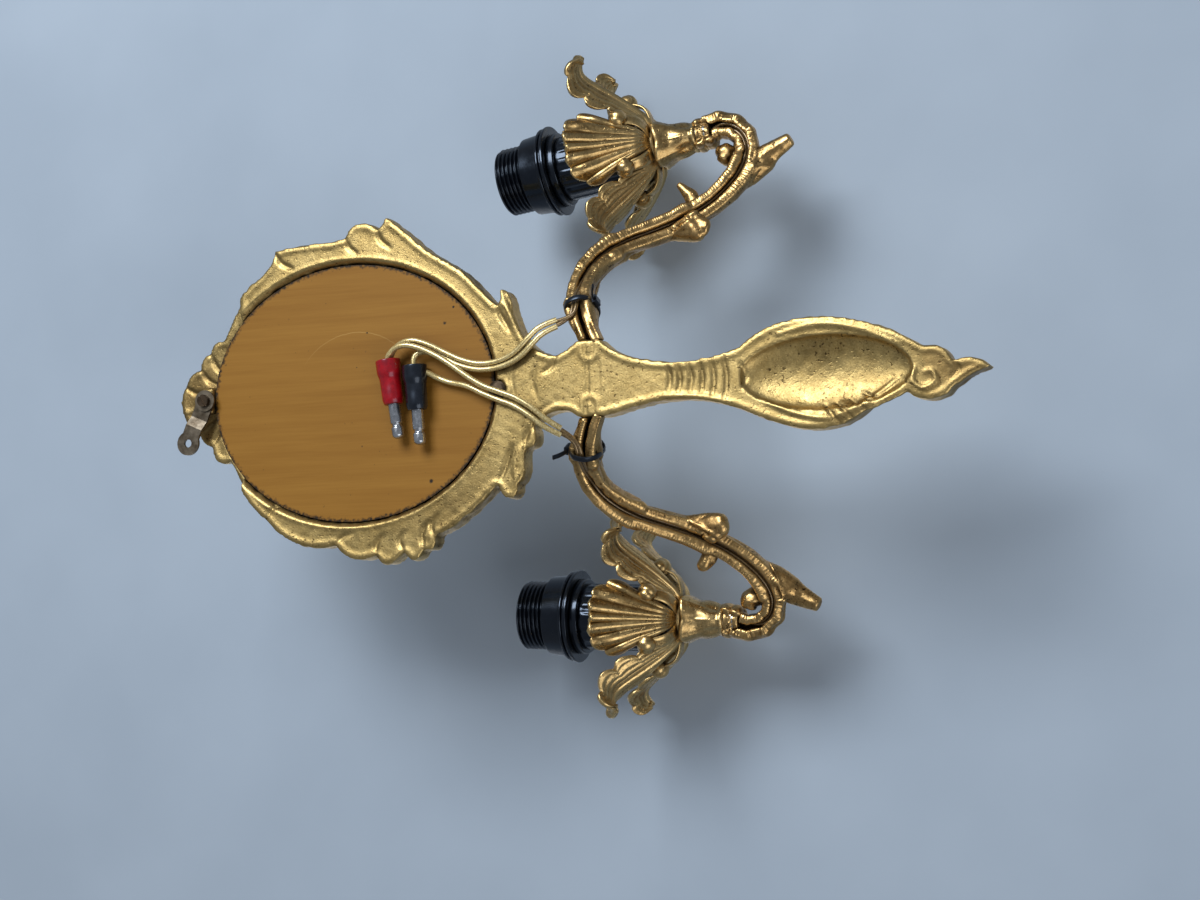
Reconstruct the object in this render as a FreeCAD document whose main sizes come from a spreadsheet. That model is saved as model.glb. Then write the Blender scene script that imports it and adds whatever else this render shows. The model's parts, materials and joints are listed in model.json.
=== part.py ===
import FreeCAD, Part
import Sketcher
import math
import os

from FreeCAD import Vector, Placement, Rotation

# A two-light girandole wall sconce: a cast brass frame round an oval mirror, a stem with a
# dished drop, two cast arms, and on each arm a candle cup, a leaf pan and a small lampholder.
# Frame: +Z up, the front faces -Y, the back of the casting is the plane Y = 0.
# The origin is on that flat back, in the middle of the waist where the arms meet the stem.

doc = FreeCAD.newDocument("Girandole")
sheet = doc.addObject("Spreadsheet::Sheet", "Sizes")

SIZES = [
    # the casting
    ("frame_width", 138.0, "widest point of the mirror frame, leaf tip to leaf tip"),
    ("frame_rise", 183.0, "waist to the top of the crest"),
    ("stem_drop", 155.0, "waist to the tip of the drop"),
    ("cast_depth", 9.0, "front to back of the cast frame"),
    ("crest_set", 4.0, "how far the back of the crest lies in front of the back plane"),
    ("crest_from", 153.0, "height at which the back steps down to the crest"),
    ("dish_depth", 5.2, "hollow in the back of the drop"),
    ("dish_half_width", 14.0, "hollow of the drop, half its width"),
    ("dish_half_length", 33.0, "hollow of the drop, half its length"),
    ("drop_bulge", 10.5, "how far the front of the drop stands in front of the back plane"),
    # the mirror
    ("mirror_centre", 103.2, "height of the mirror's centre"),
    ("mirror_half_width", 52.0, "half width of the glass"),
    ("mirror_half_height", 62.4, "half height of the glass"),
    ("glass_thick", 3.0, "thickness of the glass"),
    ("paint_thick", 0.6, "silvering with its protective paint"),
    ("mirror_gap", 0.4, "play of the glass in its rebate"),
    ("mirror_lip", 3.6, "front lip that the glass rests on, radial"),
    ("mirror_set", 5.4, "depth of the rebate from the back plane"),
    ("rebate_flare", 2.0, "how far the rebate's wall opens towards the back"),
    ("bead_width", 4.4, "raised bead round the sight edge, its width"),
    ("bead_height", 2.2, "how far that bead stands forward"),
    # the mirror's retaining screw
    ("stop_radius", 3.7, "head of the black retaining screw"),
    ("stop_head", 1.7, "height of that head"),
    ("stop_shank", 1.3, "shank radius of the retaining screw"),
    ("stop_side", 2.4, "sideways place of the retaining screw"),
    # the hanger
    ("hanger_rise", 168.6, "height of the hanger's pivot screw"),
    ("pivot_radius", 1.75, "shank of the pivot screw"),
    ("pivot_play", 0.08, "running clearance of the strap on the screw"),
    ("pivot_head_radius", 2.5, "head of the pivot screw"),
    ("pivot_head", 1.7, "height of that head"),
    ("pivot_depth", 5.0, "how far the screw goes into the boss"),
    ("boss_radius", 5.4, "boss under the strap"),
    ("washer_radius", 4.4, "washer under the screw head"),
    ("washer_thick", 0.8, "thickness of the washer"),
    ("strap_width", 7.6, "width of the hanger strap"),
    ("strap_thick", 1.2, "thickness of the strap"),
    ("strap_reach", 18.8, "pivot to hanging hole"),
    ("strap_step", 1.8, "joggle of the strap towards the wall"),
    ("strap_turn", 67.0, "how far the strap is turned from upright, degrees"),
    ("hang_hole", 1.7, "radius of the hanging hole"),
    ("stack_gap", 0.05, "gap between strap, washer and head"),
    # the arms
    ("arm_forward", 58.0, "how far the candle axis stands in front of the back plane"),
    ("reach_left", 104.0, "left candle axis from the centre line"),
    ("reach_right", 94.0, "right candle axis from the centre line"),
    ("cup_low_left", 28.0, "foot of the left cup below the origin"),
    ("cup_low_right", 35.0, "foot of the right cup below the origin"),
    ("lean_left", 8.0, "inward lean of the left candle axis, degrees"),
    ("lean_right", 2.5, "inward lean of the right candle axis, degrees"),
    ("arm_half_width", 4.5, "half width of the channelled arm"),
    ("arm_half_depth", 4.0, "half depth of the arm"),
    ("channel_half", 1.1, "room in the wiring channel on each side of the flex"),
    ("channel_depth", 1.2, "depth of the wiring channel beyond the flex"),
    ("stub_reach", 15.0, "length of the stubs that carry the arms, from the centre line"),
    ("tenon_radius", 1.8, "brazed tenon of the arm in its stub"),
    ("tenon_length", 6.0, "length of that tenon"),
    ("flex_radius", 1.7, "two-core flex in the channel"),
    ("flex_play", 0.3, "clearance round the flex"),
    # the cup and the nipple
    ("cup_height", 17.0, "height of the candle cup"),
    ("cup_foot", 0.6, "how far the cup's foot stands outside the nipple"),
    ("cup_rim", 9.4, "radius of the cup's rim"),
    ("cup_wall", 1.6, "wall of the cup"),
    ("nipple_radius", 5.0, "threaded nipple, ten millimetres across"),
    ("nipple_bore", 3.6, "wiring bore of the nipple"),
    ("nipple_length", 30.0, "length of the nipple"),
    ("nipple_below", 4.0, "how far the nipple goes into the arm"),
    ("thread_play", 0.05, "radial play at the nipple"),
    ("nut_across", 14.0, "lock nut across its flats"),
    ("nut_height", 3.0, "height of the lock nut"),
    # the leaf pan
    ("leaf_reach", 40.0, "reach of the acanthus leaves from the candle axis"),
    ("leaf_rise", 22.0, "rise of the acanthus leaves above the hub"),
    ("leaf_half_width", 10.5, "half width of an acanthus leaf"),
    ("shell_reach", 27.5, "reach of the two shell leaves"),
    ("shell_rise", 29.0, "rise of the two shell leaves"),
    ("shell_half_width", 13.0, "half width of a shell leaf"),
    ("bud_reach", 19.5, "buds between the leaves, from the candle axis"),
    ("bud_rise", 9.5, "rise of those buds above the hub"),
    ("bud_radius", 3.4, "radius of a bud"),
    ("leaf_thick", 1.6, "thickness of a leaf at its midrib"),
    ("pan_hub", 8.6, "radius of the pan's hub"),
    ("pan_thick", 3.4, "thickness of the pan's hub"),
    # the lampholder
    ("cap_radius", 13.6, "rear cap of the holder"),
    ("cap_height", 35.0, "height of the rear cap"),
    ("cap_wall", 1.6, "wall of the rear cap"),
    ("sleeve_radius", 14.0, "threaded sleeve of the holder, over the thread"),
    ("sleeve_thread", 24.0, "length of the threaded sleeve"),
    ("thread_rise", 0.7, "depth of the sleeve's thread"),
    ("socket_radius", 8.2, "bore of the sleeve round the lamp shell"),
    ("collar_radius", 15.4, "shoulder at the foot of the sleeve"),
    ("collar_height", 3.2, "height of that shoulder"),
    ("shell_wall", 0.6, "wall of the lamp shell"),
    ("shell_bore", 7.1, "inside radius of the lamp shell, for a fourteen millimetre lamp cap"),
    ("shell_height", 15.0, "length of the lamp shell"),
    ("shell_sunk", 2.5, "the shell's mouth below the sleeve's rim"),
    ("ring_play", 0.3, "play of the shade ring on the thread"),
    ("ring_radius", 19.0, "flange of the shade ring"),
    ("ring_skirt", 16.8, "skirt of the shade ring"),
    ("ring_height", 12.0, "height of the shade ring"),
    ("flange_height", 3.4, "height of its flange"),
    # the leads and their plugs
    ("core_radius", 1.15, "one core of the flex"),
    ("plug_mouth", 5.0, "mouth radius of a plug's sleeve"),
    ("plug_tail", 4.0, "radius of the sleeve where the pin leaves it"),
    ("plug_length", 18.0, "length of a plug's sleeve"),
    ("pin_radius", 2.4, "radius of a bullet pin"),
    ("pin_length", 14.0, "length of the pin outside its sleeve"),
    ("tie_thick", 1.0, "thickness of a cable tie"),
    ("tie_wide", 2.4, "width of a cable tie"),
]

for row, (name, value, note) in enumerate(SIZES, start=1):
    sheet.set("A%d" % row, note)
    sheet.set("B%d" % row, repr(value))
    sheet.setAlias("B%d" % row, name)
doc.recompute()


class Size:
    """A size that carries both its number and the expression that it comes from."""

    def __init__(self, value, text):
        self.value = float(value)
        self.text = text

    def _join(self, other, sign, value, swap=False):
        text = other.text if isinstance(other, Size) else repr(float(other))
        first, last = (text, self.text) if swap else (self.text, text)
        return Size(value, "(%s %s %s)" % (first, sign, last))

    def __add__(self, other):
        return self._join(other, "+", self.value + float(other))

    def __radd__(self, other):
        return self._join(other, "+", float(other) + self.value, True)

    def __sub__(self, other):
        return self._join(other, "-", self.value - float(other))

    def __rsub__(self, other):
        return self._join(other, "-", float(other) - self.value, True)

    def __mul__(self, other):
        return self._join(other, "*", self.value * float(other))

    def __rmul__(self, other):
        return self._join(other, "*", float(other) * self.value, True)

    def __truediv__(self, other):
        return self._join(other, "/", self.value / float(other))

    def __neg__(self):
        return Size(-self.value, "(0 - %s)" % self.text)

    def __float__(self):
        return self.value


class Sizes:
    pass


q = Sizes()
for name, value, note in SIZES:
    setattr(q, name, Size(sheet.get(name), "Sizes." + name))


def plain(size):
    return float(size)


parts = []


def keep(obj, label):
    obj.Label = label
    parts.append(obj)
    return obj


# ---------------------------------------------------------------- helpers: parametric bodies

def plane_of(body, role):
    for feature in body.Origin.OriginFeatures:
        if feature.Role == role:
            return feature
    raise RuntimeError("no plane " + role)


def draw_profile(sketch, points):
    """A closed outline of straight sides; every corner is tied to the sheet."""
    count = len(points)
    for i in range(count):
        x0, y0 = points[i]
        x1, y1 = points[(i + 1) % count]
        line = Part.LineSegment(Vector(plain(x0), plain(y0), 0), Vector(plain(x1), plain(y1), 0))
        sketch.addGeometry(line, False)
    for i in range(count):
        sketch.addConstraint(Sketcher.Constraint("Coincident", i, 2, (i + 1) % count, 1))
    for i, (x, y) in enumerate(points):
        for kind, size, axis in (("DistanceX", x, -2), ("DistanceY", y, -1)):
            if plain(size) == 0.0:
                sketch.addConstraint(Sketcher.Constraint("PointOnObject", i, 1, axis))
            else:
                made = sketch.addConstraint(
                    Sketcher.Constraint(kind, -1, 1, i, 1, plain(size)))
                if isinstance(size, Size):
                    sketch.setExpression("Constraints[%d]" % made, size.text)


def seat(obj, side=None):
    """Stand a piece on the candle axis of one side, or leave it in the main frame."""
    if side is None:
        obj.Placement = Placement()
        return
    obj.Placement = candle_place(side)
    sign = SIGN[side]
    reach = "Sizes.reach_" + side
    obj.setExpression("Placement.Base.x", reach if sign > 0 else "0 - " + reach)
    obj.setExpression("Placement.Base.y", "0 - Sizes.arm_forward")
    obj.setExpression("Placement.Base.z", "0 - Sizes.cup_low_" + side)


def turned(label, points, side=None):
    """A turned piece: (radius, height) corners revolved about the vertical axis."""
    body = doc.addObject("PartDesign::Body", label + "_body")
    sketch = body.newObject("Sketcher::SketchObject", label + "_profile")
    sketch.AttachmentSupport = (plane_of(body, "XZ_Plane"), [""])
    sketch.MapMode = "FlatFace"
    draw_profile(sketch, points)
    spin = body.newObject("PartDesign::Revolution", label + "_turned")
    spin.Profile = sketch
    spin.ReferenceAxis = (sketch, ["V_Axis"])
    spin.Angle = 360
    doc.recompute()
    seat(body, side)
    return body


def feature(label, shape, place=None):
    obj = doc.addObject("Part::Feature", label + "_cast")
    obj.Shape = shape
    if place is not None:
        obj.Placement = place
    return keep(obj, label)



SIGN = {"left": -1.0, "right": 1.0}


def candle_place(side):
    sign = SIGN[side]
    reach = plain(getattr(q, "reach_" + side))
    low = plain(getattr(q, "cup_low_" + side))
    lean = plain(getattr(q, "lean_" + side))
    turn = Rotation(Vector(0, 1, 0), -sign * lean)
    return Placement(Vector(sign * reach, -plain(q.arm_forward), -low), turn)


# ---------------------------------------------------------------- helpers: outlines and tubes

def flat(points, y=0.0):
    return [Vector(x, y, z) for x, z in points]


def smooth_outline(runs, y=0.0):
    """Closed outline in a plane of constant y, a smooth curve between cusps."""
    edges = []
    for run in runs:
        pts = flat(run, y)
        if len(pts) == 2:
            edges.append(Part.LineSegment(pts[0], pts[1]).toShape())
        else:
            edges += arcs_through(pts)
    return Part.Wire(edges)


def arcs_through(pts):
    """A chain of arcs, one from each point to the next, that follows a smooth curve."""
    curve = Part.BSplineCurve()
    curve.interpolate(pts)
    edges = []
    for a, b in zip(pts, pts[1:]):
        middle = curve.value(0.5 * (curve.parameter(a) + curve.parameter(b)))
        edges.append(Part.Arc(a, middle, b).toShape())
    return edges


def oval(half_width, half_height, centre, y):
    """Oval in a plane of constant y, standing upright."""
    tall = half_height >= half_width
    major = Vector(0, 0, 1) if tall else Vector(1, 0, 0)
    big, small = max(half_height, half_width), min(half_height, half_width)
    middle = Vector(0, y, centre)
    side = Vector(0, -1, 0).cross(major)
    curve = Part.Ellipse(middle + major * big, middle + side * small, middle)
    return Part.Wire([curve.toShape()])


def oval_disc(half_width, half_height, centre, y0, y1):
    face = Part.Face(oval(half_width, half_height, centre, y0))
    return face.extrude(Vector(0, y1 - y0, 0))


def rounded_route(points, share=0.45):
    """Straight runs joined by tangent arcs, each as large as its two runs allow."""
    pts = [Vector(*p) for p in points]
    edges = []
    radii = []
    start = pts[0]
    for i in range(1, len(pts) - 1):
        before, here, after = pts[i - 1], pts[i], pts[i + 1]
        back = (before - here)
        ahead = (after - here)
        shorter = min(back.Length, ahead.Length)
        back.normalize()
        ahead.normalize()
        turn = math.pi - back.getAngle(ahead)
        radius = share * shorter / math.tan(turn / 2.0)
        radii.append(radius)
        cut = share * shorter
        a = here + back * cut
        b = here + ahead * cut
        bisector = (back + ahead)
        bisector.normalize()
        centre = here + bisector * (radius / math.cos(turn / 2.0))
        inward = here - centre
        inward.normalize()
        middle = centre + inward * radius
        edges.append(Part.LineSegment(start, a).toShape())
        edges.append(Part.Arc(a, middle, b).toShape())
        start = b
    edges.append(Part.LineSegment(start, pts[-1]).toShape())
    return Part.Wire(edges), radii


def tube(label, points, radius, sides=6):
    """A cord along its route, with flat sides and the area of a round section.
    Prints its bends and its length."""
    path, radii = rounded_route(points)
    first = Vector(*points[0])
    ahead = Vector(*points[1]) - first
    ahead.normalize()
    across = ahead.cross(Vector(0, 1, 0))
    across.normalize()
    up = across.cross(ahead)
    step = 2.0 * math.pi / sides
    corner = radius * math.sqrt(step / math.sin(step))
    corners = [first + across * (corner * math.cos(k * step + 0.5 * step))
               + up * (corner * math.sin(k * step + 0.5 * step)) for k in range(sides)]
    ring = Part.makePolygon(corners + [corners[0]])
    solid = path.makePipeShell([ring], True, False)
    stated = math.pi * radius * radius * path.Length
    least = min(radii) if radii else 0.0
    print("%s: length %.1f, bends %s, least %.1f diameters, volume %.4f of section x length"
          % (label, path.Length, " ".join("%.1f" % r for r in radii),
             least / (2 * radius), solid.Volume / stated))
    return solid


def sections_along(points, shape_at, up=Vector(0, 1, 0)):
    """Rings of corners set square to a path; shape_at gives (side, up) corners."""
    pts = [Vector(*p) for p in points]
    rings = []
    for i, here in enumerate(pts):
        ahead = pts[min(i + 1, len(pts) - 1)] - pts[max(i - 1, 0)]
        ahead.normalize()
        rise = up - ahead * up.dot(ahead)
        rise.normalize()
        side = ahead.cross(rise)
        rings.append([here + side * s + rise * r for s, r in shape_at(i, len(pts))])
    return rings


def skin(rings):
    """A closed solid over matching rings of corners, with flat facets between them."""
    def face(*corners):
        return Part.Face(Part.makePolygon(list(corners) + [corners[0]]))
    faces = [face(*rings[0]), face(*rings[-1])]
    count = len(rings[0])
    for low, high in zip(rings, rings[1:]):
        for k in range(count):
            n = (k + 1) % count
            faces.append(face(low[k], low[n], high[k]))
            faces.append(face(low[n], high[n], high[k]))
    solid = Part.makeSolid(Part.makeShell(faces))
    if solid.Volume < 0:
        solid.reverse()
    return solid


def bud(centre, radius, sides=6):
    """A ball that closes a scroll or a curled leaf, cut in flat facets."""
    rings = []
    for k in range(1, 5):
        tilt = math.pi * k / 5.0
        wide = radius * math.sin(tilt)
        high = radius * 1.02 * math.cos(tilt)
        rings.append([centre + Vector(wide * math.cos(2 * math.pi * i / sides), high,
                                      wide * math.sin(2 * math.pi * i / sides))
                      for i in range(sides)])
    return skin(rings)


def one_solid(shape, merge=True):
    if merge:
        shape = shape.removeSplitter()
    solids = shape.Solids
    return solids[0] if len(solids) == 1 else shape


# ---------------------------------------------------------------- the cast frame

# Outline of the casting, seen from the front: (x, z) at the nominal size. Each run is one
# smooth edge, and runs meet at the cusps between the leaves.
LEFT_RUNS = [
    [(-15, -4.2), (-15, 5.2)],
    [(-15, 5.2), (-12.5, 8.5), (-9.5, 14)],
    [(-9.5, 14), (-11, 19), (-15.5, 25.5), (-21.5, 29.5), (-26.5, 31)],
    [(-26.5, 31), (-31, 32.5), (-36.5, 35), (-37, 37)],
    [(-37, 37), (-33, 37.5), (-30.5, 38.5)],
    [(-30.5, 38.5), (-39, 46.5), (-47, 55), (-54, 66.5), (-63.5, 78), (-70.5, 87)],
    [(-70.5, 87), (-67.5, 88), (-65.5, 90.5)],
    [(-65.5, 90.5), (-68, 94), (-68, 100.5), (-63, 104.5)],
    [(-63, 104.5), (-62, 112), (-61.5, 125), (-60, 137)],
    [(-60, 137), (-55, 138.5), (-47.5, 147), (-41, 154), (-33.5, 158.5), (-25, 163)],
]
CREST_RUNS = [
    [(-25, 163), (-24.5, 167), (-20, 169)],
    [(-20, 169), (-18.5, 172.5), (-13.5, 173.5)],
    [(-13.5, 173.5), (-11.5, 178.5), (-7, 181)],
    [(-7, 181), (-3, 183), (4, 182.5), (10, 179), (13.5, 174.5)],
    [(13.5, 174.5), (17.5, 172), (18.5, 168.5)],
    [(18.5, 168.5), (23, 167.5), (26, 163), (25, 160)],
]
RIGHT_RUNS = [
    [(25, 160), (36, 154), (44, 148.5), (50, 141.5)],
    [(50, 141.5), (57, 134), (61.5, 123), (61, 110)],
    [(61, 110), (65.5, 106), (67.5, 99), (65.5, 92)],
    [(65.5, 92), (69.5, 88.5), (67.5, 83), (64.5, 80)],
    [(64.5, 80), (68.5, 76), (63.5, 71.5)],
    [(63.5, 71.5), (64.5, 68.5), (59, 66.5)],
    [(59, 66.5), (53, 55), (42.5, 42.5), (38.5, 38.5)],
    [(38.5, 38.5), (42.5, 38), (45.5, 35), (40, 31.5)],
    [(40, 31.5), (38, 29), (33, 27.8), (26, 27.5)],
    [(26, 27.5), (24.5, 23.5), (17.5, 24)],
    [(17.5, 24), (13.5, 19), (12, 11), (15, 5.2)],
    [(15, 5.2), (15, -4.2)],
]
STEM_RUNS = [
    [(15, -4.2), (13.6, -12), (10.5, -28), (11.5, -48), (16.5, -63)],
    [(16.5, -63), (22, -77), (24, -93), (19, -107), (9.5, -118), (7, -123.5)],
    [(7, -123.5), (12.5, -124.5), (15.2, -131), (12.5, -140)],
    [(12.5, -140), (8.5, -145), (4.5, -155)],
    [(4.5, -155), (0.5, -147), (1.5, -141)],
    [(1.5, -141), (-3.5, -137.5), (-4.5, -130.5)],
    [(-4.5, -130.5), (-11, -119), (-17.5, -98), (-17, -77), (-8.5, -60)],
    [(-8.5, -60), (-4.5, -42), (-6.5, -20), (-11.5, -8), (-15, -4.2)],
]


def placed(runs):
    """The outline grown or shrunk with the casting's overall sizes."""
    wide = plain(q.frame_width) / 138.0
    up = plain(q.frame_rise) / 183.0
    down = plain(q.stem_drop) / 155.0
    stub = plain(q.stub_reach) / 15.0
    grown = []
    for run in runs:
        line = []
        for x, z in run:
            across = x * wide if abs(z) > 6.0 else x * stub
            line.append((across, z * (up if z > 6.0 else down if z < -6.0 else 1.0)))
        grown.append(line)
    return grown


def cast_frame():
    deep = plain(q.cast_depth)
    outline = smooth_outline(placed(LEFT_RUNS + CREST_RUNS + RIGHT_RUNS + STEM_RUNS))
    body = Part.Face(outline).extrude(Vector(0, -deep, 0))

    # the drop is dished: a bulge in front and a hollow behind, with one wall between them
    middle = Vector(3.0, 0, -93.0 * plain(q.stem_drop) / 155.0)
    hollow = ellipsoid(middle, plain(q.dish_half_width), plain(q.dish_depth),
                       plain(q.dish_half_length))
    bulge = ellipsoid(middle, plain(q.dish_half_width) + 2.6, plain(q.drop_bulge),
                      plain(q.dish_half_length) + 3.4)
    front = Part.makeBox(200, 60, 400, Vector(-100, -60, -300))
    body = body.fuse(bulge.common(front))

    # raised bead round the sight edge, on the front
    centre = plain(q.mirror_centre)
    sight_w = plain(q.mirror_half_width) - plain(q.mirror_lip)
    sight_h = plain(q.mirror_half_height) - plain(q.mirror_lip)
    bead = plain(q.bead_width)
    high = plain(q.bead_height)
    ring = Part.makeLoft([oval(sight_w + bead, sight_h + bead, centre, -deep + 0.5),
                          oval(sight_w + bead, sight_h + bead, centre, -deep - 0.5 * high),
                          oval(sight_w + 0.6 * bead, sight_h + 0.6 * bead, centre, -deep - high),
                          oval(sight_w - 0.5, sight_h - 0.5, centre, -deep - 0.5 * high)],
                         True, True)
    body = body.fuse(ring)

    # rebate for the glass, with its wall opening towards the back
    play = plain(q.mirror_gap)
    flare = plain(q.rebate_flare)
    wide = plain(q.mirror_half_width) + play
    tall = plain(q.mirror_half_height) + play
    depth = plain(q.mirror_set)
    body = body.cut(oval_disc(wide, tall, centre, -depth, 1.0))
    flared = Part.makeLoft([oval(wide, tall, centre, -flare),
                            oval(wide + flare + 0.5, tall + flare + 0.5, centre, 0.5)], True)
    body = body.cut(flared)
    body = body.cut(oval_disc(sight_w, sight_h, centre, -deep - 5.0, 1.0))

    # the crest's back lies lower, apart from the boss that carries the hanger
    step = Part.makeBox(160, plain(q.crest_set) + 1, 60,
                        Vector(-80, -plain(q.crest_set), plain(q.crest_from)))
    body = body.cut(step)
    boss = Part.makeCylinder(plain(q.boss_radius), plain(q.crest_set) + 1.0,
                             Vector(0, -plain(q.crest_set) - 1.0, plain(q.hanger_rise)),
                             Vector(0, 1, 0))
    boss = boss.cut(oval_disc(wide, tall, centre, -depth, 1.0))
    body = body.fuse(boss)
    body = body.cut(hollow)

    # the pivot screw's hole, the retaining screw's hole and the arms' tenon holes
    pivot_hole = Part.makeCylinder(plain(q.pivot_radius), plain(q.pivot_depth) + 1.0,
                                   Vector(0, 1.0, plain(q.hanger_rise)), Vector(0, -1, 0))
    stop_hole = Part.makeCylinder(plain(q.stop_shank), 8.0,
                                  Vector(plain(q.stop_side), 1.0, stop_height()),
                                  Vector(0, -1, 0))
    paint_back = -depth + plain(q.glass_thick) + plain(q.paint_thick)
    stop_seat = Part.makeCylinder(plain(q.stop_radius) + 0.4, 6.0,
                                  Vector(plain(q.stop_side), paint_back, stop_height()),
                                  Vector(0, 1, 0))
    body = body.cut(pivot_hole).cut(stop_hole).cut(stop_seat)
    for side in ("left", "right"):
        body = body.cut(tenon(side, 0.3))
    return one_solid(body, False)


def ellipsoid(centre, half_x, half_y, half_z):
    ball = Part.makeSphere(1.0)
    grow = FreeCAD.Matrix()
    grow.scale(half_x, half_y, half_z)
    grown = ball.transformGeometry(grow)
    grown.translate(centre)
    return grown


def stop_height():
    """The retaining screw stands just outside the lower edge of the glass."""
    edge = plain(q.mirror_centre) - plain(q.mirror_half_height)
    return edge - plain(q.mirror_gap) - plain(q.stop_shank) + 0.2


# ---------------------------------------------------------------- the arms

# Centre line of the channelled arm: (out, forward, height), for a candle axis 99 out and a
# cup foot 31 below the origin. The arm leaves its stub, rises over the shoulder, sweeps
# down and forward, and turns up in a C scroll under the cup.
ARM_LINE = [
    (11.0, 3.4, -1.8), (15.0, 4.6, 0.4), (24.0, 8.0, 4.6), (34.0, 14.0, 7.2), (45.0, 22.0, 4.6),
    (53.5, 30.0, -4.5), (58.6, 37.0, -16.0), (63.6, 42.5, -28.0), (70.5, 47.0, -39.5),
    (80.0, 51.0, -49.0), (90.0, 54.5, -53.2), (99.0, 57.0, -50.0), (102.5, 58.0, -42.0),
    (100.5, 58.0, -34.5),
]
NOMINAL_REACH = 99.0
NOMINAL_LOW = 31.0


def arm_point(side, point):
    """One point of the arm on its own side, drawn out to that side's cup."""
    out, forward, height = point
    sign = SIGN[side]
    reach = plain(getattr(q, "reach_" + side))
    low = plain(getattr(q, "cup_low_" + side))
    stub = plain(q.stub_reach)
    share = (out - 15.0) / (NOMINAL_REACH - 15.0)
    x = stub + (reach - stub) * share
    y = 4.6 + (plain(q.arm_forward) - 4.6) * (forward - 4.6) / (58.0 - 4.6)
    z = height - (low - NOMINAL_LOW) * share
    return (sign * x, -y, z)


def tenon(side, extra=0.0):
    sign = SIGN[side]
    length = plain(q.tenon_length)
    x, y, z = arm_point(side, ARM_LINE[1])
    return Part.makeCylinder(plain(q.tenon_radius), length + extra,
                             Vector(x, y, z), Vector(-sign, 0, 0))


def channel_width():
    """Half width of the channel, which leaves room beside the flex."""
    return plain(q.flex_radius) + plain(q.channel_half)


def channel_floor():
    """Height of the channel's floor above the arm's centre line."""
    return plain(q.arm_half_depth) - 2.0 * plain(q.flex_radius) - plain(q.channel_depth)


def channel_section(i, count):
    """A rounded trough, open to the back; it slims towards the scroll."""
    share = i / float(count - 1)
    slim = 1.06 - 0.14 * share
    w = plain(q.arm_half_width) * slim
    d = plain(q.arm_half_depth) * slim
    c = channel_width()
    k = channel_floor()
    return [(-c, d - 0.5), (-w + 0.5, d), (-w, 0.1 * d), (-0.55 * w, -d), (0.55 * w, -d),
            (w, 0.1 * d), (w - 0.5, d), (c, d - 0.5), (c, k), (-c, k)]


def channel_void(i, count):
    """The open channel alone, kept clear of the leaves."""
    c = channel_width() - 0.02
    k = channel_floor() + 0.02
    return [(-c, k), (c, k), (c, plain(q.arm_half_depth) + 3.0),
            (-c, plain(q.arm_half_depth) + 3.0)]


def arm_stations(side):
    """Evenly spaced points on the arm's centre line."""
    centre = Part.BSplineCurve()
    centre.interpolate([Vector(*arm_point(side, p)) for p in ARM_LINE])
    return centre.discretize(24)


def flex_route(side):
    """The flex lies in the channel; at the tie it has risen over the channel's lips."""
    radius = plain(q.flex_radius)
    floor = channel_floor()
    lift = floor + radius + 0.45
    over = 1.06 * plain(q.arm_half_depth) + radius + 0.35
    out = 22.3 if side == "left" else 20.2
    height = 13.5 if side == "left" else 12.5
    route = [arm_point(side, (out, 0.4, height)), arm_point(side, (23.6, 2.2, 7.6))]
    stations = arm_stations(side)
    place = candle_place(side)
    foot = place.multVec(Vector(0, 0, -plain(q.nipple_below) + 1.0))
    rises = {2: over, 3: over - 0.2, 4: 0.5 * (over + lift)}
    for i in range(2, len(stations) - 1):
        ahead = stations[i + 1] - stations[i - 1]
        ahead.normalize()
        rise = Vector(0, 1, 0) - ahead * ahead.y
        rise.normalize()
        here = stations[i] + rise * rises.get(i, lift)
        if i != 2 and (here - foot).Length > 8.0:
            route.append((here.x, here.y, here.z))
    top = plain(q.nipple_length) - plain(q.nipple_below) - 2.0
    for height, aside in ((-plain(q.nipple_below) + 1.0, 0.0), (0.33 * top, 0.3),
                          (0.66 * top, 0.0), (top, 0.2)):
        spot = place.multVec(Vector(aside, 0, height))
        route.append((spot.x, spot.y, spot.z))
    return route


def blade(points, half_widths, half_thicks, up=Vector(0, 1, 0)):
    """A solid leaf or sprig: a lozenge with a rounded back, drawn along a line."""
    def outline(i, count):
        w, t = half_widths[i], half_thicks[i]
        return [(-w, 0), (-0.6 * w, 0.7 * t), (0, t), (0.6 * w, 0.7 * t), (w, 0),
                (0.6 * w, -0.8 * t), (0, -t), (-0.6 * w, -0.8 * t)]
    return skin(sections_along(points, outline, up))


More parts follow.
